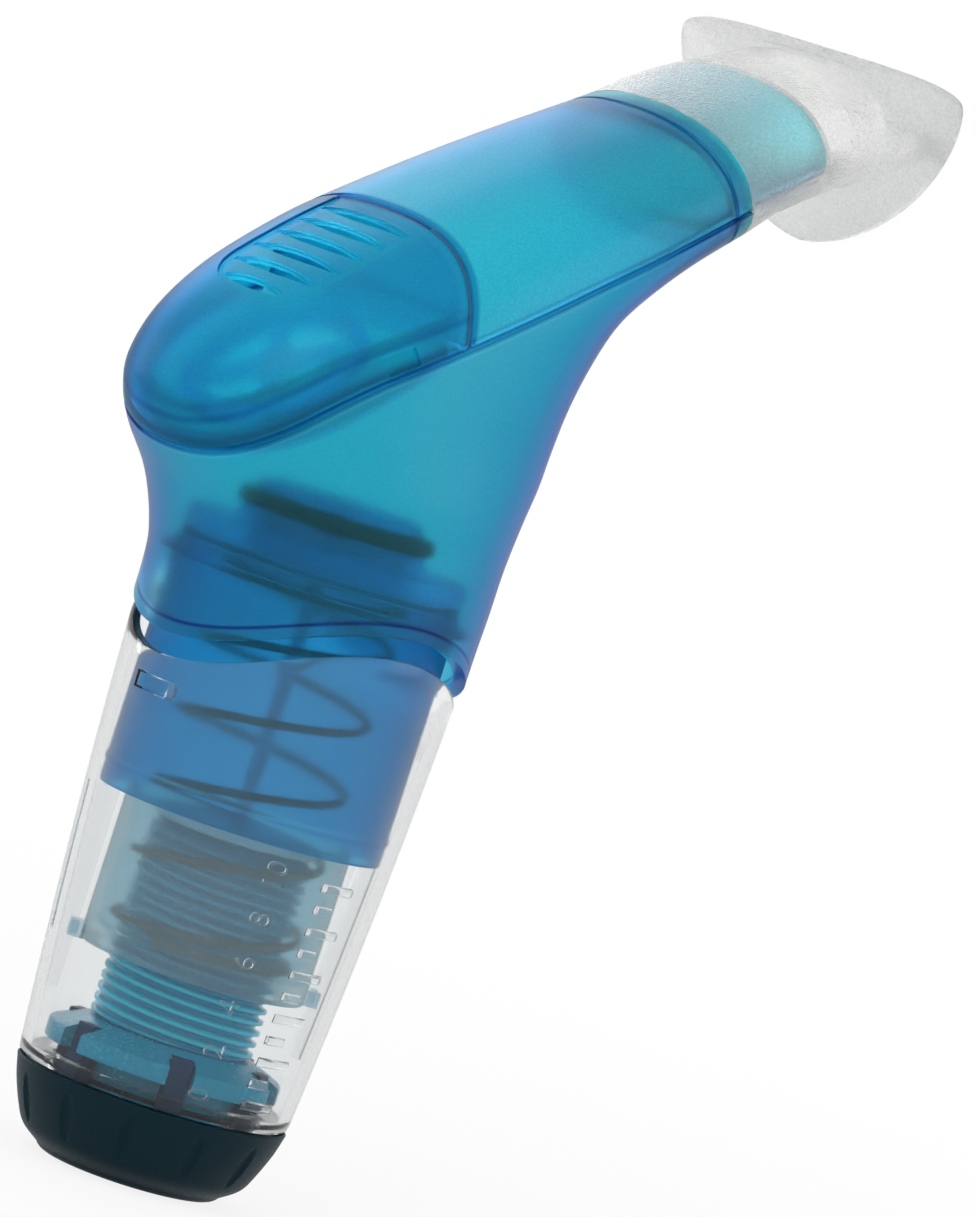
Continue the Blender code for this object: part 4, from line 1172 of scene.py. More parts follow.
        # Painted shade along the seam, the skirt's step and the collar groove, and a painted highlight just
        # below the seam.
        self.shade_joints(
            SHELL,
            (Joint.SEAM, TintLine(middle=0.0, reach=1.3)),
            (Joint.SEAM, TintLine(middle=-1.0, reach=0.3, strength=EDGE_HIGHLIGHT_STRENGTH, colour=EDGE_HIGHLIGHT_COLOUR)),
            (Joint.SKIRT, TintLine(middle=1.9, reach=0.5)),
            (Joint.COLLAR, TintLine(middle=self.groove_back, reach=0.8)),
        )

    def seam_step(self, name: str, low: float, high: float) -> bpy.types.Object:
        """A shallow step along the seam, as far as the collar.

        Args:
            name: the object's name.
            low: how far above the seam it starts.
            high: how far above the seam it stops.

        Returns:
            The new object.
        """
        lower, upper = ([self.on_seam(self.step_end, up), *self.seam(up)[1:]] for up in (low, high))
        return self.shallow(self.sawn(name, lower + upper[::-1]), self.groove)

    def rear_step(self, name: str, start: float, stop: float) -> bpy.types.Object:
        """A shallow step along the joint of cap and cover, between two distances from the collar."""
        return self.shallow(self.slab(name, start, stop), self.groove)

    def shade_joints(self, finish: Finish, *lines: tuple[Joint, TintLine]) -> None:
        """Paint shade and highlights into a shell's material along its joints: painted shade for the seams,
        grooves and steps, and painted highlights for the light caught on their edges.

        Args:
            finish: the shell's finish.
            lines: pairs of a joint and a line along it.
        """
        wiring = Wiring(material_of(finish).node_tree)
        joints = wiring.tree.nodes.new("ShaderNodeGroup")
        joints.node_tree = self.joint_group()
        for joint, line in lines:
            line.paint(wiring, joints.outputs[joint.value])

    def joint_group(self) -> bpy.types.NodeTree:
        """The node group of the distances to the handle's joints, made once.

        The seam is its straight line, then its arc's circle, then the line past the arc. The skirt is the
        wave of wave_ring, with cos 2a worked out as (x^2 - y^2) / (x^2 + y^2).

        Returns:
            The group, with an output in metres for each joint: seam and skirt up, rear towards the neck,
            collar back.
        """
        name = "shell joints"
        if name in bpy.data.node_groups:
            return bpy.data.node_groups[name]
        wiring, _, end = new_group(name, (), tuple(joint.value for joint in Joint))
        centre = wiring.shifted(self.on_seam(-self.seam_straight, -self.seam_arc_r))
        reach = wiring.vector("LENGTH", wiring.vector("MULTIPLY", centre, (1.0, 0.0, 1.0)))
        bend = wiring.math("SUBTRACT", reach, self.seam_arc_r * MM)
        first, first_angle = self.on_seam(-self.seam_straight, 0.0), self.seam_angle
        last, last_angle = self.seam(0.0)[-2], self.seam_angle + self.seam_turn
        up, past = wiring.along(last, last_angle + 90.0), wiring.along(last, last_angle + 180.0)
        tail = wiring.choose(past, up, bend)
        up, before = wiring.along(first, first_angle + 90.0), wiring.along(first, first_angle)
        seam = wiring.choose(before, up, tail)
        rear = wiring.along(self.on_seam(-self.cap_from_collar, 0.0), self.seam_angle - self.cap_lean)
        collar = wiring.along(self.arm(0.0, 0.0), self.arm_angle + 180.0)
        split = wiring.add("SeparateXYZ", {"Vector": wiring.place()}).node.outputs
        squares = [wiring.math("MULTIPLY", split[axis], split[axis]) for axis in "XY"]
        wave = wiring.math("DIVIDE", wiring.math("SUBTRACT", *squares), wiring.math("ADD", *squares))
        height = wiring.math("SUBTRACT", split["Z"], (self.rim_z + self.shadow_gap) * MM)
        skirt = wiring.math("ADD", height, wiring.math("MULTIPLY", self.rim_wave * MM, wave))
        distances = {Joint.SEAM: seam, Joint.REAR: rear, Joint.COLLAR: collar, Joint.SKIRT: skirt}
        for joint, distance in distances.items():
            wiring.feed(end.inputs[joint.value], distance)
        return wiring.tree

    def upper(self, name: str, start: float, stop: float) -> bpy.types.Object:
        """The skin above the seam, between two distances from the collar.

        Args:
            name: the object's name.
            start: its front, along the seam.
            stop: its back.

        Returns:
            The new object.
        """
        return carve(
            self.outside(name),
            (self.inside(f"{name}_hollow"), Cut.AWAY),
            (self.above(f"{name}_above", GAP / 2), Cut.KEEP),
            (self.slab(f"{name}_reach", start, stop), Cut.KEEP),
        )

    def build_cover(self) -> None:
        """The top cover, from the cap to the neck's end."""
        front = -self.cap_from_collar + GAP / 2
        cover = self.upper("arm_cover", front, self.neck_length + self.bulb_reach)
        carve(
            cover,
            (self.rear_step("cover_rear", front - PAST, front + self.step), Cut.AWAY),
            (self.seam_step("cover_step", -PAST, GAP / 2 + self.step), Cut.AWAY),
            (self.collar_groove("cover_groove"), Cut.AWAY),
        )
        settle(cover, COVER, Body.HANDLE, "top_cover")
        # Painted shade along the seam, the rear joint and the collar groove.
        self.shade_joints(
            COVER,
            (Joint.SEAM, TintLine(middle=0.0, reach=0.7)),
            (Joint.REAR, TintLine(middle=0.0, reach=1.2)),
            (Joint.COLLAR, TintLine(middle=self.groove_back, reach=0.8)),
        )

    def ridge(self) -> tuple[Array, Array, Array]:
        """The line down the middle of the cap's vented face.

        Returns:
            Where it meets the cap's rear plane, the way down along it, and the way in, all in (x, z).
        """
        stations = np.array(self.stations())
        upper, lower = (stations[row, :2] for row in self.ridge_rows)
        down = lower - upper
        down = down / np.linalg.norm(down)
        foot = np.array(self.on_seam(-self.cap_from_collar - GAP / 2, 0.0))
        lean = math.radians(self.seam_angle + 90.0 - self.cap_lean)
        across = np.array([math.sin(lean), -math.cos(lean)])
        edge = upper + down * (np.dot(foot - upper, across) / np.dot(down, across))
        return edge, down, np.array([-down[1], down[0]])

    def on_ridge(self, name: str, outline: list, reach: float) -> bpy.types.Object:
        """An outline on the ridge, carried square to it both ways.

        Args:
            name: the object's name.
            outline: points of (down, aside).
            reach: how far it is carried each way.

        Returns:
            The new object.
        """
        edge, down, inward = self.ridge()
        flat = np.asarray(outline, float)
        rings = []
        for depth in (-reach, reach):
            place = edge + flat[:, :1] * down + depth * inward
            rings.append(np.column_stack([place[:, 0], flat[:, 1], place[:, 1]]))
        return solid(name, np.array(rings))

    def vent_slot(self, index: int, share: float, rim: float = 0.0) -> bpy.types.Object:
        """One slot: half its width at t along it is (1 - t^2) of the middle's.

        Args:
            index: its place, from the cap's rear.
            share: its length as a share of the longest slot's.
            rim: how much wider it is all round.

        Returns:
            The new object.
        """
        t = np.linspace(-1.0, 1.0, self.slot_points)
        half = self.slot_width / 2 * (1 - t**2) + rim + self.slot_end
        middle = self.slot_first + self.slot_pitch * index
        aside = t * (self.slot_length * share / 2 + rim)
        upper, lower = np.column_stack([middle - half, aside]), np.column_stack([middle + half, aside])
        outline = np.concatenate([upper, lower[::-1]])
        return self.on_ridge(f"slot_{index}_{rim}", outline.tolist(), self.slot_reach)

    def recess(self) -> bpy.types.Object:
        """The shallow field round the slots: parallel sides and a round lower end.

        Returns:
            The new object.
        """
        half = self.slot_length / 2 + self.recess_aside
        low = self.slot_first + self.slot_pitch * (len(self.slot_shares) - 1) + self.recess_below
        swell, reach = self.recess_round, self.recess_reach
        middle = low - half * swell
        ends = arc((middle, 0.0), 1.0, -90.0, 90.0, self.recess_points)
        outline = [(middle + (x - low + half * swell) * half * swell, y * half) for x, y in ends]
        field_cut = self.on_ridge("recess", [(-reach, -half), *outline, (-reach, half)], reach)
        return self.shallow(field_cut, self.recess_depth)

    def snap_window(self, side: float) -> bpy.types.Object:
        """A shallow rectangular pocket over the snap at the cap's lower edge.

        Args:
            side: 1 or -1, for the side in Y.

        Returns:
            The new object.
        """
        corners = [(self.snap_start, self.snap_low), (self.snap_stop, self.snap_low)]
        corners += [(self.snap_stop, self.snap_high), (self.snap_start, self.snap_high)]
        flat = np.array([self.on_seam(*corner) for corner in corners])
        ends = (side * self.snap_inside, side * self.snap_outside)
        rings = [np.column_stack([flat[:, 0], np.full(4, y), flat[:, 1]]) for y in ends]
        return self.shallow(solid(f"snap_{side}", np.array(rings)), self.snap_depth)

    def build_cap(self) -> None:
        """The vented cap, with its bulkhead, recess, snap windows, steps and slots."""
        back, thin = -self.cap_from_collar - GAP / 2, self.bulkhead_gap
        cap = self.upper("exhale_cap", -3 * self.cap_from_collar, back)
        wall = carve(
            self.slab("bulkhead", back - self.bulkhead, back - thin),
            (self.layer("bulkhead_edge", self.wall / 2), Cut.KEEP),
            (self.above("bulkhead_above", GAP / 2 + thin), Cut.KEEP),
        )
        carve(
            cap,
            (wall, Cut.JOIN),
            (self.recess(), Cut.AWAY),
            (self.snap_window(-1.0), Cut.AWAY),
            (self.snap_window(1.0), Cut.AWAY),
            (self.rear_step("cap_rear", back - self.step, back + PAST), Cut.AWAY),
            (self.seam_step("cap_step", -PAST, GAP / 2 + self.step), Cut.AWAY),
        )
        shares = list(enumerate(self.slot_shares))
        rims = joined("slot_rims", [self.vent_slot(i, share, self.slot_rim) for i, share in shares])
        rims = self.shallow(rims, self.recess_depth + self.slot_rim_depth)
        carve(cap, (rims, Cut.AWAY), *((self.vent_slot(i, share), Cut.AWAY) for i, share in shares))
        settle(cap, CAP, Body.HANDLE, "vent_cap")
        # Painted shade along the seam and the rear joint, fainter painted shade over the rim behind the wall,
        # and a painted highlight near the rear edge.
        self.shade_joints(
            CAP,
            (Joint.SEAM, TintLine(middle=0.0, reach=0.8)),
            (Joint.REAR, TintLine(middle=0.0, reach=1.0)),
            (Joint.SEAM, TintLine(middle=self.tongue_height, reach=0.9, strength=LIP_SHADE)),
            (Joint.REAR, TintLine(middle=-0.75, reach=0.35, strength=EDGE_HIGHLIGHT_STRENGTH, colour=EDGE_HIGHLIGHT_COLOUR)),
        )

    def build(self) -> None:
        """All three shells."""
        self.build_body()
        self.build_cover()
        self.build_cap()


# Mouthpiece


@dataclass
class Mouthpiece:
    """The soft sleeve, lip flange and bite tabs.

    The sleeve and the flange are one ring carried along a path that turns back through the bore. The table of
    the sleeve's end has the rows that rings takes.
    """

    handle: Handle
    flange_x: float = 66.9
    flange_z: float = 180.0
    flange_angle: float = 16.0
    flange: float = 2.8
    half_width: float = 32.2
    top: float = 11.7
    bottom: float = 18.4
    widest: float = 7.4
    upper_squareness: float = 3.7
    lower_squareness: float = 1.65
    edge_insets: tuple = ((-1.0, 1.6), (-0.55, 0.25), (0.0, 0.0), (0.55, 0.25), (1.0, 1.6))
    sleeve_middle: float = 0.6
    sleeve_bend: float = 3.0
    sleeve_waist: float = 0.6
    sleeve_end: tuple = (
        (60.6, 179.0, 24.0, 9.8, 9.8, 20.0, 0.0, 2.3, 2.3),
        (63.9, 179.3, 18.0, 10.4, 10.8, 21.3, 0.6, 2.35, 2.2),
        (65.2, 179.6, 16.3, 10.7, 12.5, 25.0, 3.0, 2.6, 1.9),
    )
    bore_half_height: float = 6.4
    bore_half_width: float = 14.0
    bore_start: float = 1.2
    bore_break: float = 0.8
    bore_flare: tuple = (1.0, 0.2)
    bite_y: float = 19.0
    bite_length: float = 7.0
    bite_height: float = 5.0
    bite_width: float = 7.0
    bite_taper: tuple = ((0.0, 1.0), (0.5, 0.96), (0.85, 0.9), (0.95, 0.8), (1.0, 0.6))
    bite_squareness: float = 4.0
    bite_points: int = 48

    def rings(self, table: Array, count: int = FINE) -> Array:
        """Rings of superellipses whose upper and lower halves differ.

        Args:
            table: rows of x, z, angle, top, bottom, half width, widest height, upper and lower exponents.
            count: points in a ring.

        Returns:
            An array of rings, points and x, y, z.
        """
        x, z, angle, top, bottom, half_width, widest, upper, lower = (column[:, None] for column in table.T)
        turn = circle(count)
        cosine, sine = np.cos(turn), np.sin(turn)
        high = cosine > 0
        power = np.where(high, 2.0 / upper, 2.0 / lower)
        reach = np.where(high, top - widest, bottom + widest)
        height = widest + reach * np.sign(cosine) * np.abs(cosine) ** power
        side = half_width * np.sign(sine) * np.abs(sine) ** power
        lean = np.radians(angle)
        return np.stack([x - height * np.sin(lean), side, z + height * np.cos(lean)], axis=-1)

    def lip(self, along: float) -> tuple:
        """The (x, z) of a point on the flange's normal through its middle."""
        return on_line((self.flange_x, self.flange_z), self.flange_angle, along, 0.0)

    def on_flange(self, shift: float, inset: float) -> tuple:
        """A row for the flange's outline, shifted along its normal and moved inwards."""
        sizes = (self.top - inset, self.bottom - inset, self.half_width - inset, self.widest)
        return (*self.lip(shift), self.flange_angle, *sizes, self.upper_squareness, self.lower_squareness)

    def bore_row(self, x: float, z: float, angle: float, grow: float) -> tuple:
        """A row for the bore, widened by a little."""
        half, power = self.bore_half_height + grow, self.handle.collar_squareness
        return (x, z, angle, half, half, self.bore_half_width + grow, 0.0, power, power)

    def build(self) -> None:
        """The sleeve's outside, the flange, and back through the bore to the socket over the neck."""
        h, half, power = self.handle, self.flange / 2, self.handle.collar_squareness
        start, middle = h.arm(GAP, 0.0), h.arm(h.neck_length * self.sleeve_middle, 0.0)
        collar, wide = h.collar_half_height, h.collar_half_width
        waist, waist_wide = collar - self.sleeve_waist, wide - self.sleeve_waist
        outside = [
            (*start, h.arm_angle, collar, collar, wide, 0.0, power, power),
            (*middle, h.arm_angle - self.sleeve_bend, waist, waist, waist_wide, 0.0, power, power),
            *self.sleeve_end,
        ]
        edge = [self.on_flange(half * share, inset) for share, inset in self.edge_insets]
        end = h.arm(h.neck_length + self.bore_start, 0.0)
        flare, ease = self.bore_flare
        step = h.neck_step - GAP
        socket = (collar - step, collar - step, wide - step, 0.0, power, power)
        bore = [
            self.bore_row(*self.lip(half), self.flange_angle, flare),
            self.bore_row(*self.lip(half - self.bore_break), self.flange_angle, ease),
            self.bore_row(*self.lip(-self.flange), self.flange_angle, 0.0),
            self.bore_row(*end, h.arm_angle, 0.0),
        ]
        ends = (h.arm(h.neck_length + GAP, 0.0), start)
        table = np.concatenate([
            through(outside, steps=24),
            through(edge, steps=24),
            np.array(bore[:2]),
            through(bore[1:], steps=8)[1:],
            np.array([(*place, h.arm_angle, *socket) for place in ends]),
        ])
        piece = solid("soft_mouthpiece", self.rings(table), wrap_rows=True)
        carve(piece, *((self.bite_tab(side), Cut.JOIN) for side in (-1.0, 1.0)))
        settle(piece, SILICONE, Body.HANDLE, "mouthpiece", angle=40.0)

    def bite_tab(self, side: float) -> bpy.types.Object:
        """One bite tab: a rounded bar that tapers to its end.

        Args:
            side: 1 or -1, for the side in Y.

        Returns:
            The new object.
        """
        power, rows = self.bite_squareness, []
        for along, share in self.bite_taper:
            half, wide = self.bite_height / 2 * share, self.bite_width / 2 * share
            place = self.lip(along * self.bite_length)
            rows.append((*place, self.flange_angle, half, half, wide, 0.0, power, power))
        rings = self.rings(np.array(rows), self.bite_points)
        return solid(f"bite_{side}", rings + np.array([0.0, side * self.bite_y, 0.0]))


# Clear tube


@dataclass
class ScaleTube:
    """The clear tube with its wavy rim, guide fins, lug windows and moulded scale."""

    handle: Handle
    base_z: float = 13.2
    base_r: float = 20.9
    top_r: float = 25.0
    bulge: float = 0.45
    wall: float = 1.7
    rim_break: float = 0.5
    rim_round: float = 0.15
    foot_break: float = 0.4
    wall_rows: int = 40
    flange: float = 1.8
    flange_r: float = 16.7
    fin_angles: tuple = (148.0, 328.0)
    fin_inner_r: float = 18.4
    fin_width: float = 1.2
    fin_low: float = 23.7
    fin_high: float = 54.7
    mark_first: float = 17.2
    mark_step: float = 3.42
    mark_count: int = 11
    mark_angle: float = 267.0
    mark_long: float = 6.5
    mark_short: float = 3.5
    mark_height: float = 1.4
    mark_raise: float = 0.55
    mark_root: float = 0.3
    mark_grid: tuple = (17, 9)
    number_angle: float = 248.0
    number_size: float = 4.6
    number_raise: float = 0.25

    def radius(self, z: Array) -> Array:
        """Outer radius at a height: a cone with a slight bulge, straight above the rim's mean height."""
        t = np.clip((z - self.base_z) / (self.handle.rim_z - self.base_z), 0.0, 1.0)
        return self.base_r + (self.top_r - self.base_r) * t + 4 * self.bulge * t * (1 - t)

    def wall_solid(self) -> bpy.types.Object:
        """Rings up the outside, over the rim's wave and down the inside to the foot flange.

        Returns:
            The new object.
        """
        h, bevel, ease, foot = self.handle, self.rim_break, self.rim_round, self.foot_break
        angle = circle(FINE)
        rim = h.rim_z - h.rim_wave * np.cos(2 * angle)
        share = np.linspace(0.0, 1.0, self.wall_rows)[:, None]
        outer_z = self.base_z + foot + share * (rim - bevel - self.base_z - foot)
        floor = self.base_z + self.flange
        inner_z = rim - bevel + share * (floor - rim + bevel)
        rim_r = self.radius(rim)
        base_r, flange_r = np.full((1, 1), self.base_r - foot), np.full((1, 1), self.flange_r)
        rows = [
            (base_r, np.full_like(rim, self.base_z)),
            (self.radius(outer_z), outer_z),
            (rim_r - ease, rim - ease),
            (rim_r - bevel, rim),
            (rim_r - self.wall + bevel, rim),
            (rim_r - self.wall + ease, rim - ease),
            (self.radius(inner_z) - self.wall, inner_z),
            (flange_r, np.full_like(rim, floor)),
            (flange_r, np.full_like(rim, self.base_z)),
        ]
        rings = [about_axis(radius, angle, height) for radius, height in rows]
        return solid("clear_tube", np.concatenate(rings), wrap_rows=True)

    def fin(self, angle: float) -> bpy.types.Object:
        """One guide fin, from its free edge into the tube's wall.

        Args:
            angle: where it stands, in degrees about Z.

        Returns:
            The new object.
        """
        inner, low, high = self.fin_inner_r, self.fin_low, self.fin_high
        wall = self.radius(np.array([low, high])) - self.wall / 2
        outline = [(inner, low), (wall[0], low), (wall[1], high), (inner, high)]
        return prism(f"fin_{angle}", outline, self.fin_width / 2, angle)

    def mark(self, index: int) -> bpy.types.Object:
        """One raised mark: a pillow over the tube, its height (1 - a^8)(1 - b^6) of the full raise.

        Args:
            index: its place, from the foot. Every other mark is long.

        Returns:
            The new object.
        """
        z = self.mark_first + self.mark_step * index
        length = self.mark_short if index % 2 else self.mark_long
        a, b = np.meshgrid(*(np.linspace(-1.0, 1.0, count) for count in self.mark_grid), indexing="ij")
        heights = z + b * self.mark_height / 2
        lift = self.mark_raise * (1 - a**8) * (1 - b**6)
        surface = self.radius(heights)
        angle = math.radians(self.mark_angle) + (a + 1) * length / 2 / surface
        radius = np.stack([surface + lift, surface - self.mark_root])
        return pillow(f"mark_{index}", about_axis(radius, angle, heights))

    def number(self, index: int) -> bpy.types.Object:
        """A moulded number beside a long mark: flat text on its side, its height wrapped round the tube.

        Args:
            index: the number, which is also its mark's place.

        Returns:
            The new object.
        """
        curve = bpy.data.curves.new(f"number_{index}", "FONT")
        curve.body = str(index)
        curve.size = self.number_size
        curve.align_x = "CENTER"
        curve.align_y = "CENTER"
        curve.extrude = self.number_raise
        curve.resolution_u = 4
        flat = bpy.data.objects.new(curve.name, curve)
        bpy.context.scene.collection.objects.link(flat)
        bpy.context.view_layer.update()
        mesh = bpy.data.meshes.new_from_object(flat.evaluated_get(bpy.context.evaluated_depsgraph_get()))
        bpy.data.objects.remove(flat, do_unlink=True)
        points = np.empty(len(mesh.vertices) * 3, np.float32)
        mesh.vertices.foreach_get("co", points)
        across, up, out = points.reshape(-1, 3).astype(float).T
        z = self.mark_first + self.mark_step * index + across
        surface = self.radius(z)
        angle = math.radians(self.number_angle) - up / surface
        radius = surface + out
        wrapped = about_axis(radius, angle, z) * MM
        mesh.vertices.foreach_set("co", wrapped.astype(np.float32).ravel())
        weld(mesh)
        obj = bpy.data.objects.new(f"number_{index}", mesh)
        bpy.context.scene.collection.objects.link(obj)
        return obj

    def build(self) -> None:
        """The tube and its scale."""
        h = self.handle
        half = h.lug_width / 2 + GAP
        low, high = h.lug_z - h.lug_height / 2 - GAP, h.lug_z + h.lug_height / 2 + GAP
        windows = [
            box_solid(f"window_{turn}", (h.spigot_r, -half, low), (self.top_r + 2 * PAST, half, high), turn)
            for turn in (0.0, 180.0)
        ]
        tube = carve(
            self.wall_solid(),
            *((self.fin(angle), Cut.JOIN) for angle in self.fin_angles),
            *((window, Cut.AWAY) for window in windows),
        )
        settle(tube, CLEAR, Body.HANDLE, "scale_tube")
        marks = joined("scale_marks", [self.mark(i) for i in range(self.mark_count)])
        settle(marks, CLEAR, Body.HANDLE)
        numbers = joined("scale_numbers", [self.number(i) for i in range(0, self.mark_count, 2)])
        settle(numbers, CLEAR, Body.HANDLE)


def pillow(name: str, sheets: Array) -> bpy.types.Object:
    """A closed solid between two grids of points that share a border's outline.

    Args:
        name: the object's name.
        sheets: an array of two sheets, rows, columns and x, y, z.

    Returns:
        The new object.
    """
    _, rows, cols = sheets.shape[:3]
    top = grid_faces(rows, cols, False, False)
    under = top[:, ::-1] + rows * cols
    index = np.arange(rows * cols).reshape(rows, cols)
    border = np.concatenate([index[0, :-1], index[:-1, -1], index[-1, :0:-1], index[:0:-1, 0]])
    following = np.roll(border, -1)
    sides = np.stack([following, border, border + rows * cols, following + rows * cols], axis=1)
    return raw_object(name, sheets, np.concatenate([top, under, sides]).tolist())


# Knob


@dataclass
class Knob:
    """The dark knob with finger flutes, air inlets and drive dogs."""

    height: float = 12.9
    foot_r: float = 14.6
    foot_round: float = 1.8
    foot_swell: float = 0.5
    foot_swell_z: float = 0.55
    wall_swell: float = 0.3
    waist_r: float = 18.4
    waist_z: float = 5.2
    top_r: float = 20.9
    wall: float = 2.0
    floor: float = 2.4
    hub_r: float = 1.0
    rim_break: float = 0.3
    points: int = 480
    flute_count: int = 12
    flute_start: float = 15.0
    flute_half_width: float = 1.15
    flute_half_height: float = 3.6
    flute_z: float = 7.4
    flute_depth: float = 0.6
    flute_power: float = 0.6
    inlet_count: int = 6
    inlet_inner_r: float = 6.5
    inlet_outer_r: float = 11.5
    inlet_width: float = 3.2
    dog_count: int = 6
    dog_inner_r: float = 13.5
    dog_outer_r: float = 16.0
    dog_width: float = 3.4
    dog_top: float = 20.9
    dog_root: float = 0.7
    dog_foot: float = 0.6
    dog_slope: float = 1.0
    hook_z: float = 15.3
    hook_height: float = 1.0
    hook_reach: float = 1.0

    def outside(self) -> Array:
        """The outer (r, z) line, smoothed: a rounded foot, then a wall that opens upwards.

        Returns:
            An array of (r, z) points.
        """
        r = self.foot_round
        foot = arc((self.foot_r - r, r), r, -90.0, -30.0, steps=4)
        wall = [
            foot[-1],
            ((self.foot_r + self.waist_r) / 2 + self.foot_swell, self.waist_z * self.foot_swell_z),
            (self.waist_r, self.waist_z),
            ((self.waist_r + self.top_r) / 2 + self.wall_swell, (self.waist_z + self.height) / 2),
            (self.top_r, self.height - self.rim_break),
        ]
        return np.concatenate([foot[:-1], through(wall, steps=48)])

    def cup(self) -> bpy.types.Object:
        """The cup, turned, with its flutes as dents: depth (1 - a^2 - b^2) to a power, across and up a flute.

        Returns:
            The new object.
        """
        outer = self.outside()
        angle = circle(self.points)
        pitch = 2 * math.pi / self.flute_count
        off = (angle - math.radians(self.flute_start) + pitch / 2) % pitch - pitch / 2
        radius, z = outer[:, :1], outer[:, 1:]
        across = off * radius / self.flute_half_width
        upright = (z - self.flute_z) / self.flute_half_height
        dent = self.flute_depth * np.clip(1.0 - across**2 - upright**2, 0.0, 1.0) ** self.flute_power
        base = np.array([(self.hub_r, 0.0)])
        rest = np.array([
            (self.top_r - self.rim_break, self.height),
            (self.top_r - self.wall, self.height),
            (self.waist_r - self.wall, self.waist_z),
            (self.foot_r - self.wall / 2, self.floor),
            (self.hub_r, self.floor),
        ])
        below, inside = (np.broadcast_to(line[:, :1], (len(line), self.points)) for line in (base, rest))
        radii = np.concatenate([below, radius - dent, inside])
        heights = np.concatenate([base, outer, rest])[:, 1:]
        return solid("foot_knob", about_axis(radii, angle, heights))

    def build(self) -> None:
        """The cup with its air inlets, and the dogs."""
        cup = self.cup()
        half = self.inlet_width / 2
        low, high = (self.inlet_inner_r, -half, -PAST), (self.inlet_outer_r, half, self.floor + PAST)
        step = 360.0 / self.inlet_count
        inlets = [box_solid(f"inlet_{i}", low, high, step * (i + 0.5)) for i in range(self.inlet_count)]
        carve(cup, *((inlet, Cut.AWAY) for inlet in inlets))
        settle(cup, TEAL, Body.KNOB, "knob")
        settle(joined("drive_dogs", [self.dog(i) for i in range(self.dog_count)]), DOG, Body.KNOB)

    def dog(self, index: int) -> bpy.types.Object:
        """One drive dog: an upright with a snap hook, carried across its width.

        Args:
            index: its place round the axis.

        Returns:
            The new object.
        """
        root, inner, outer = self.floor * self.dog_root, self.dog_inner_r, self.dog_outer_r
        line = [(inner, root), (inner + self.dog_foot, root), (outer, self.floor + self.dog_slope)]
        line += [(outer, self.hook_z)]
        line += [(outer + self.hook_reach, self.hook_z), (outer, self.hook_z + self.hook_height)]
        line += [(outer, self.dog_top), (inner, self.dog_top)]
        turn = 360.0 / self.dog_count * index
        return prism(f"dog_{index}", eased(line, radius=0.3), self.dog_width / 2, turn)


# Load train


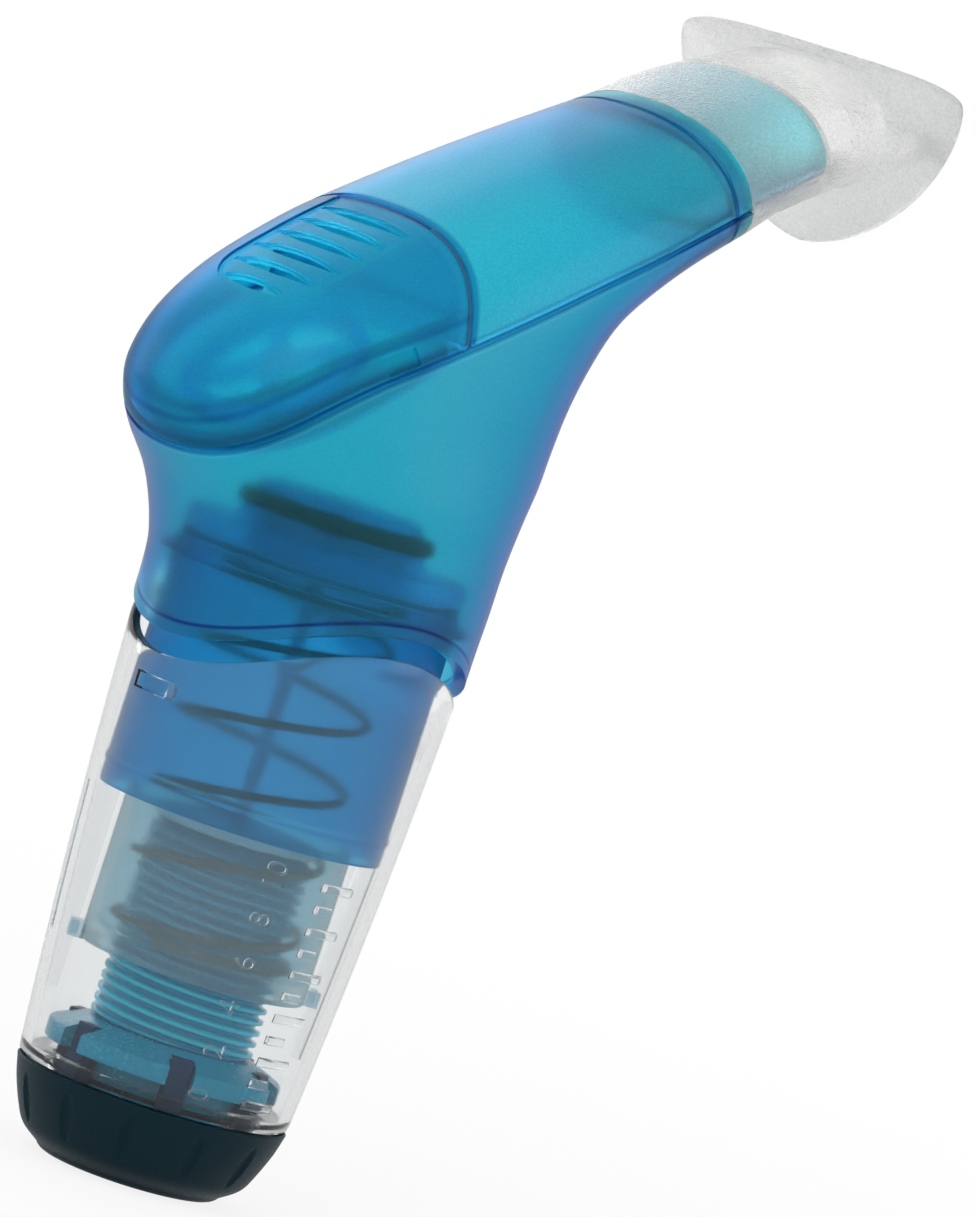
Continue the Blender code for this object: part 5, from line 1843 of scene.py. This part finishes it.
@dataclass
class LoadTrain:
    """The threaded post, its cap, the spring carrier and the spring."""

    knob: Knob
    tube: ScaleTube
    post_z: float = 16.6
    post_r: float = 12.6
    bore_r: float = 10.6
    flange_r: float = 18.0
    flange: float = 2.8
    skirt_r: float = 13.0
    skirt_z: float = 13.4
    fillet: float = 2.2
    post_length: float = 36.0
    thread_depth: float = 0.95
    thread_starts: int = 2
    thread_lead: float = 3.4
    thread_rows: int = 260
    thread_flank: float = 0.9
    thread_break: float = 0.3
    run_in: float = 0.6
    run_out: float = 0.8
    cap: float = 2.0
    plug: float = 3.0
    stem_r: float = 1.2
    carrier_z: float = 31.9
    carrier_r: float = 17.4
    carrier_wall: float = 1.5
    carrier_floor: float = 3.0
    carrier_height: float = 24.0
    ear_r: float = 19.4
    ear_height: float = 2.4
    ear_width: float = 5.0
    ear_lift: float = 0.05
    spring_r: float = 13.7
    wire: float = 1.3
    turns: float = 4.8
    closed_gap: float = 0.2
    turn_points: int = 48
    wire_points: int = 16
    spring_start: float = 200.0
    spring_top: float = 92.9
    spring_split: float = 74.0

    def thread(self, foot: float, top: float) -> bpy.types.Object:
        """The threaded tube: r = outside - depth (1 - ridge), its ridge a wave along a left-hand helix.

        Args:
            foot: the height at which it starts.
            top: the height at which it ends.

        Returns:
            The new object.
        """
        ease = self.thread_break
        angle = circle(FINE)
        z = np.linspace(foot, top - ease, self.thread_rows)[:, None]
        phase = (z + angle / (2 * math.pi) * self.thread_lead) / (self.thread_lead / self.thread_starts)
        ridge = np.clip(0.5 + self.thread_flank * np.cos(2 * math.pi * phase), 0.0, 1.0)
        ending = np.clip((top - 2 * ease - z) / self.run_out, 0.0, 1.0)
        fade = ending * np.clip((z - foot) / self.run_in, 0.0, 1.0)
        radius = self.post_r - self.thread_depth * (1.0 - ridge * fade)
        inner = np.array([(self.bore_r + ease, top), (self.bore_r, top - ease), (self.bore_r, foot)])
        outside = about_axis(radius, angle, z)
        bore = about_axis(inner[:, :1], angle, inner[:, 1:])
        return solid("post_thread", np.concatenate([outside, bore]), wrap_rows=True)

    def build_post(self) -> None:
        """The threaded tube, and the flange with notches for the knob's dogs."""
        flange_top = self.post_z + self.flange
        shoulder = flange_top + self.fillet
        thread = self.thread(shoulder + GAP / 4, self.post_z + self.post_length)
        corners = [(self.bore_r, self.skirt_z), (self.skirt_r, self.skirt_z), (self.skirt_r, self.post_z)]
        corners += [(self.flange_r, self.post_z), (self.flange_r, flange_top)]
        corners += [(self.post_r, shoulder), (self.bore_r, shoulder)]
        disc = turned("post_flange", eased(corners, radius=0.4))
        half, count = self.knob.dog_width / 2 + GAP, self.knob.dog_count
        low = (self.knob.dog_inner_r - GAP, -half, self.post_z - PAST)
        high = (self.flange_r + PAST, half, flange_top + PAST)
        notches = [box_solid(f"notch_{i}", low, high, 360.0 / count * i) for i in range(count)]
        carve(disc, *((notch, Cut.AWAY) for notch in notches))
        settle(thread, POST, Body.SCREW, "load_post", angle=50.0)
        settle(disc, BASE, Body.SCREW)
        self.shade_roots()

    def shade_roots(self) -> None:
        """Paint shade into the post's material at the thread's root, by the distance of a point from the axis.
        """
        wiring = Wiring(material_of(POST).node_tree)
        reach = wiring.vector("LENGTH", wiring.vector("MULTIPLY", wiring.place(), (1.0, 1.0, 0.0)))
        root_r, half = self.post_r - self.thread_depth, self.thread_depth / 2
        # Painted shade: a dark blue line at the radius of the thread's root.
        TintLine(root_r, half, ROOT_SHADE, ROOT_SHADE_COLOUR).paint(wiring, reach)

    def build_cap(self) -> None:
        """The plug in the post's upper end."""
        top = self.post_z + self.post_length
        low, hole = top + GAP - self.plug, self.stem_r + GAP
        plug_r = self.bore_r - GAP
        corners = [(hole, low), (plug_r, low), (plug_r, top + GAP), (self.post_r, top + GAP)]
        corners += [(self.post_r, top + GAP + self.cap), (hole, top + GAP + self.cap)]
        settle(turned("post_plug", eased(corners, radius=0.4)), WHITE, Body.SCREW, "post_cap")

    def build_carrier(self) -> None:
        """The cup that rides on the thread, with ears that straddle the tube's fins."""
        z, r = self.carrier_z, self.carrier_r
        bore, cup = self.post_r + GAP, self.carrier_r - self.carrier_wall
        floor, top = z + self.carrier_floor, z + self.carrier_height
        corners = [(bore, z), (r, z), (r, top), (cup, top), (cup, floor), (bore, floor)]
        carrier = turned("load_carrier", eased(corners, radius=0.5), segments=FINE)
        half, gap = self.ear_width / 2, self.tube.fin_width / 2 + GAP
        slot_r, ear_top = self.tube.fin_inner_r - GAP, z + self.ear_height
        low, high = (slot_r, -gap, z - PAST), (self.ear_r + PAST, gap, ear_top + PAST)
        for angle in self.tube.fin_angles:
            ear = box_solid("ear", (r - PAST, -half, z + self.ear_lift), (self.ear_r, half, ear_top), angle)
            slot = box_solid("ear_slot", low, high, angle)
            carve(carrier, (ear, Cut.JOIN), (slot, Cut.AWAY))
        settle(carrier, GREY, Body.CARRIER, "spring_carrier")

    def coil(self, name: str, first: float, last: float) -> bpy.types.Object:
        """A stretch of the coil: a circle of wire carried along a right-hand helix with closed ends.

        Args:
            name: the piece's name.
            first: where the stretch starts, in turns from the lower end.
            last: where it ends.

        Returns:
            The new object.
        """
        half, total = self.wire / 2, self.turns + 2.0
        low = self.carrier_z + self.carrier_floor + GAP + half
        high, close = self.spring_top - half, self.wire + self.closed_gap
        t = np.linspace(first, last, int((last - first) * self.turn_points) + 1)
        z = np.interp(t, [0.0, 1.0, total - 1.0, total], [low, low + close, high - close, high])
        turn = (2 * math.pi * t + math.radians(self.spring_start))[:, None]
        around = circle(self.wire_points)
        radius = self.spring_r + half * np.cos(around)
        return solid(name, about_axis(radius, turn, z[:, None] + half * np.sin(around)))

    def build_spring(self) -> None:
        """Two stretches of wire, split at a height: the lower starts on the carrier's floor, the upper ends at
        the fixed guide.
        """
        total = self.turns + 2.0
        low = self.carrier_z + self.carrier_floor + GAP + self.wire / 2 + self.wire + self.closed_gap
        high = self.spring_top - self.wire / 2 - self.wire - self.closed_gap
        split = 1.0 + (self.spring_split - low) / (high - low) * (total - 2.0)
        lower, upper = self.coil("spring_lower", 0.0, split), self.coil("spring_upper", split, total)
        for piece in (lower, upper):
            smooth(piece, angle=50.0)
            dress(piece, STEEL)
            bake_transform(piece)
            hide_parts("spring")
            LOG.info("%s: %d faces", piece.name, len(piece.data.polygons))

    def build(self) -> None:
        """The whole train."""
        self.build_post()
        self.build_cap()
        self.build_carrier()
        self.build_spring()


# Valves


@dataclass
class Valves:
    """The inhale valve on its seat, and the exhale flap on its port."""

    handle: Handle
    train: LoadTrain
    seat_z: float = 95.2
    seat_plate: float = 3.2
    seat_rim: float = 2.3
    seat_rim_r: float = 14.9
    seat_bore_r: float = 12.6
    seat_taper: float = 0.6
    gasket: float = 0.7
    seal_z: float = 101.0
    seal: float = 2.4
    seal_r: float = 15.1
    seal_under: tuple = (0.4, 0.5)
    seal_over: tuple = (0.7, 0.6)
    poppet_r: float = 12.8
    poppet_plate: float = 1.6
    poppet_skin: float = 0.8
    poppet_taper: float = 1.0
    boss_r: float = 3.0
    boss: float = 3.6
    clip: float = 1.4
    clip_groove: float = 0.4
    stem_tail: float = 1.6
    flap_r: float = 12.6
    flap: float = 0.9
    flap_edge: tuple = (0.2, 0.3)
    flap_flat: float = 0.4
    flap_crown: float = 0.3
    flap_stem_r: float = 1.3
    flap_travel: float = 2.0
    exhale_seat: float = 1.8
    button_r: float = 2.4
    button: float = 1.6
    button_foot: float = 0.6

    def build_seat(self) -> None:
        """The seat plate and its gasket."""
        flange_r, plate = self.handle.spigot_r - GAP, self.seat_z + self.seat_plate
        rim = plate + self.seat_rim
        corners = [(self.seat_bore_r, self.seat_z), (flange_r, self.seat_z), (flange_r, plate)]
        corners += [(self.seat_rim_r, plate), (self.seat_rim_r - self.seat_taper, rim), (self.seat_bore_r, rim)]
        settle(turned("seat_ring", eased(corners, radius=0.4)), VALVE, Body.HANDLE, "valve_seat")
        top, inner = self.seat_z - GAP, self.handle.spigot_r - self.handle.spigot_wall
        low = top - self.gasket
        corners = [(inner, low), (flange_r, low), (flange_r, top), (inner, top)]
        settle(turned("gasket_ring", eased(corners, radius=0.25)), GASKET, Body.HANDLE, "seat_gasket")

    def build_poppet(self) -> None:
        """The seal disc, the plate over it and the stem below."""
        low, top = self.seal_z, self.seal_z + self.seal
        hole = self.boss_r + GAP
        r, (under, up), (over, down) = self.seal_r, self.seal_under, self.seal_over
        corners = [(hole, low), (r - under, low), (r, low + up)]
        corners += [(r, top - down), (r - over, top), (hole, top)]
        settle(turned("seal_disc", eased(corners, radius=0.35)), RUBBER, Body.INHALE, "poppet_seal")

        plate_z = top + GAP
        plate_top, boss_z = plate_z + self.poppet_plate, plate_z - self.boss
        bore, cavity = self.train.stem_r + GAP, plate_top - self.poppet_skin
        corners = [(AXIS_R, cavity), (bore, cavity), (bore, boss_z), (self.boss_r, boss_z)]
        corners += [(self.boss_r, plate_z), (self.poppet_r, plate_z), (self.poppet_r, cavity)]
        corners += [(self.poppet_r - self.poppet_taper, plate_top), (AXIS_R, plate_top)]
        plate = turned("poppet_plate", eased(corners, radius=0.3, closed=False), closed=False)
        settle(plate, VALVE, Body.INHALE, "poppet")

        r, stem_top = self.train.stem_r, cavity - GAP
        clip_z = self.train.post_z + self.train.post_length - self.train.plug - self.clip
        groove, bottom = r - self.clip_groove, clip_z - self.stem_tail
        corners = [(AXIS_R, bottom), (r, bottom), (r, clip_z), (groove, clip_z), (groove, clip_z + self.clip)]
        corners += [(r, clip_z + self.clip), (r, stem_top), (AXIS_R, stem_top)]
        stem = turned("pull_stem", eased(corners, radius=0.2, closed=False), closed=False, segments=32)
        settle(stem, STEM, Body.INHALE, "valve_stem")

    def build_exhale(self) -> None:
        """The umbrella flap and the bead on its stem."""
        r, low = self.flap_stem_r, 2 * GAP + self.exhale_seat
        high, foot = low + self.flap, -self.flap_travel - GAP
        wide, (inset, drop) = self.flap_r, self.flap_edge
        corners = [(AXIS_R, foot), (r, foot), (r, low), (wide, low), (wide - inset, high - drop)]
        corners += [(wide * self.flap_flat, high), (AXIS_R, high + self.flap_crown)]
        flap = turned("umbrella_flap", eased(corners, radius=0.25, closed=False), closed=False)
        top = -self.flap_travel - 2 * GAP
        base = top - self.button
        corners = [(AXIS_R, base), (self.button_r * self.button_foot, base), (self.button_r, (base + top) / 2)]
        corners += [(self.button_r, top), (AXIS_R, top)]
        bead = turned("flap_bead", eased(corners, radius=0.4, closed=False), closed=False, segments=48)
        for piece, node in ((flap, "exhale_flap"), (bead, "exhale_button")):
            self.handle.stand_on_deck(piece)
            settle(piece, PALE, Body.EXHALE, node)

    def dress_plain(self) -> None:
        """Finishes for the small inner pieces whose solids stay as they are."""
        plain = {"spring_guide": WHITE, "exhale_seat": VALVE, "stem_clip": STEEL}
        for node, finish in plain.items():
            dress(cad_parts[node], finish)

    def build(self) -> None:
        """Both valves."""
        self.build_seat()
        self.build_poppet()
        self.build_exhale()
        self.dress_plain()


# Studio


@dataclass(frozen=True)
class Lamp:
    """A soft lamp that points at the object: its place and size in metres, power, and share in highlights."""

    name: str
    place: tuple
    size: tuple
    power: float
    gloss: float = 0.4

    def light(self, aim: Vector) -> None:
        """Hang the lamp.

        Args:
            aim: the point that it shines at.
        """
        data = bpy.data.lights.new(self.name, "AREA")
        data.shape = "RECTANGLE"
        data.size, data.size_y = self.size
        data.energy = self.power
        data.specular_factor = self.gloss
        obj = bpy.data.objects.new(self.name, data)
        obj.location = self.place
        obj.rotation_euler = (aim - Vector(self.place)).to_track_quat("-Z", "Y").to_euler()
        bpy.context.scene.collection.objects.link(obj)


@dataclass
class Studio:
    """The camera at the photograph's place, soft lamps, a white world and a pale floor."""

    azimuth: float = -42.0
    elevation: float = 3.7
    roll: float = 18.0
    aim: tuple = (18.7, -16.9, 96.6)
    distance: float = 1200.0
    view_height: float = 180.0
    sensor: float = 36.0
    nearest: float = 0.05
    farthest: float = 20.0
    world_light: float = 0.55
    floor_edge: float = 1500.0
    floor_z: float = -0.5
    floor_grey: float = 0.85
    floor_roughness: float = 0.9
    shadow_reach: float = 0.45
    shadow_white: float = 0.85
    lamps: tuple = (
        Lamp("key", (-0.75, -0.35, 0.85), (0.5, 0.5), 4.0),
        Lamp("fill", (0.7, -0.8, 0.4), (0.6, 0.6), 2.5),
        Lamp("back", (0.3, 0.9, 0.6), (0.6, 0.6), 2.0),
        Lamp("edge", (-0.30, 0.92, 0.15), (0.10, 0.6), 1.5, gloss=1.0),
    )

    def camera(self) -> None:
        """A long lens, level with the middle of the object and rolled so that the tube leans to the right."""
        turn, rise, roll = (math.radians(v) for v in (self.azimuth, self.elevation, self.roll))
        back = Vector((math.sin(turn) * math.cos(rise), -math.cos(turn) * math.cos(rise), math.sin(rise)))
        right = (-back).cross(Vector((0.0, 0.0, 1.0))).normalized()
        up = right.cross(-back)
        side = right * math.cos(roll) + up * math.sin(roll)
        top = up * math.cos(roll) - right * math.sin(roll)
        data = bpy.data.cameras.new("camera")
        data.sensor_width = self.sensor
        data.lens = self.sensor * self.distance / self.view_height
        data.clip_start = self.nearest
        data.clip_end = self.farthest
        camera = bpy.data.objects.new("camera", data)
        bpy.context.scene.collection.objects.link(camera)
        place = Matrix((side, top, back)).transposed().to_4x4()
        place.translation = Vector(self.aim) * MM + back * self.distance * MM
        camera.matrix_world = place
        bpy.context.scene.camera = camera

    def seen_white(self, wiring: Wiring) -> Socket:
        """A value of 1 for rays from the camera, off gloss or through glass, and 0 for the light itself.

        Args:
            wiring: the nodes that it is added to.

        Returns:
            The value's output.
        """
        path = wiring.tree.nodes.new("ShaderNodeLightPath").outputs
        seen = wiring.math("MAXIMUM", path["Is Camera Ray"], path["Is Glossy Ray"])
        return wiring.math("MAXIMUM", seen, path["Is Transmission Ray"])

    def world(self) -> None:
        """White where it is seen, and a softer grey where it only lights."""
        world = bpy.data.worlds.new("studio")
        bpy.context.scene.world = world
        world.use_nodes = True
        wiring = Wiring(world.node_tree)
        sky = world.node_tree.nodes["Background"]
        sky.inputs["Color"].default_value = (1.0, 1.0, 1.0, 1.0)
        wiring.feed(sky.inputs["Strength"], wiring.ramp(self.seen_white(wiring), low=self.world_light))

    def floor(self) -> None:
        """A wide pale floor that keeps a faint shadow and is white to the camera."""
        edge, grey = self.floor_edge, self.floor_grey
        corners = [(-edge, -edge), (edge, -edge), (edge, edge), (-edge, edge)]
        points = np.column_stack([np.array(corners), np.full(4, self.floor_z)]) * MM
        mesh = bpy.data.meshes.new("floor")
        mesh.from_pydata(points.tolist(), [], [(0, 1, 2, 3)])
        floor = bpy.data.objects.new("floor", mesh)
        bpy.context.scene.collection.objects.link(floor)
        material = bpy.data.materials.new("pale_floor")
        material.use_nodes = True
        wiring = Wiring(material.node_tree)
        nodes = material.node_tree.nodes
        shader = nodes["Principled BSDF"]
        shader.inputs["Base Color"].default_value = (grey, grey, grey, 1.0)
        shader.inputs["Roughness"].default_value = self.floor_roughness
        away = wiring.vector("LENGTH", wiring.place())
        fade = wiring.ramp(away, stop=self.shadow_reach, low=self.shadow_white)
        share = wiring.math("MULTIPLY", self.seen_white(wiring), fade)
        shine = wiring.add("Emission", {})
        mix = wiring.add("MixShader", {0: share, 1: shader.outputs[0], 2: shine})
        wiring.feed(nodes["Material Output"].inputs["Surface"], mix)
        mesh.materials.append(material)

    def build(self) -> None:
        """Everything round the object."""
        bpy.context.scene.view_settings.view_transform = "Standard"
        self.camera()
        self.world()
        self.floor()
        for lamp in self.lamps:
            lamp.light(Vector(self.aim) * MM)


def main() -> None:
    """Build the studio and every piece in order."""
    logging.basicConfig(level=logging.INFO, format="%(name)s %(message)s")
    Studio().build()
    handle = Handle()
    handle.build()
    Mouthpiece(handle).build()
    tube = ScaleTube(handle)
    tube.build()
    knob = Knob()
    knob.build()
    train = LoadTrain(knob, tube)
    train.build()
    Valves(handle, train).build()


if __name__ == "__main__":
    main()
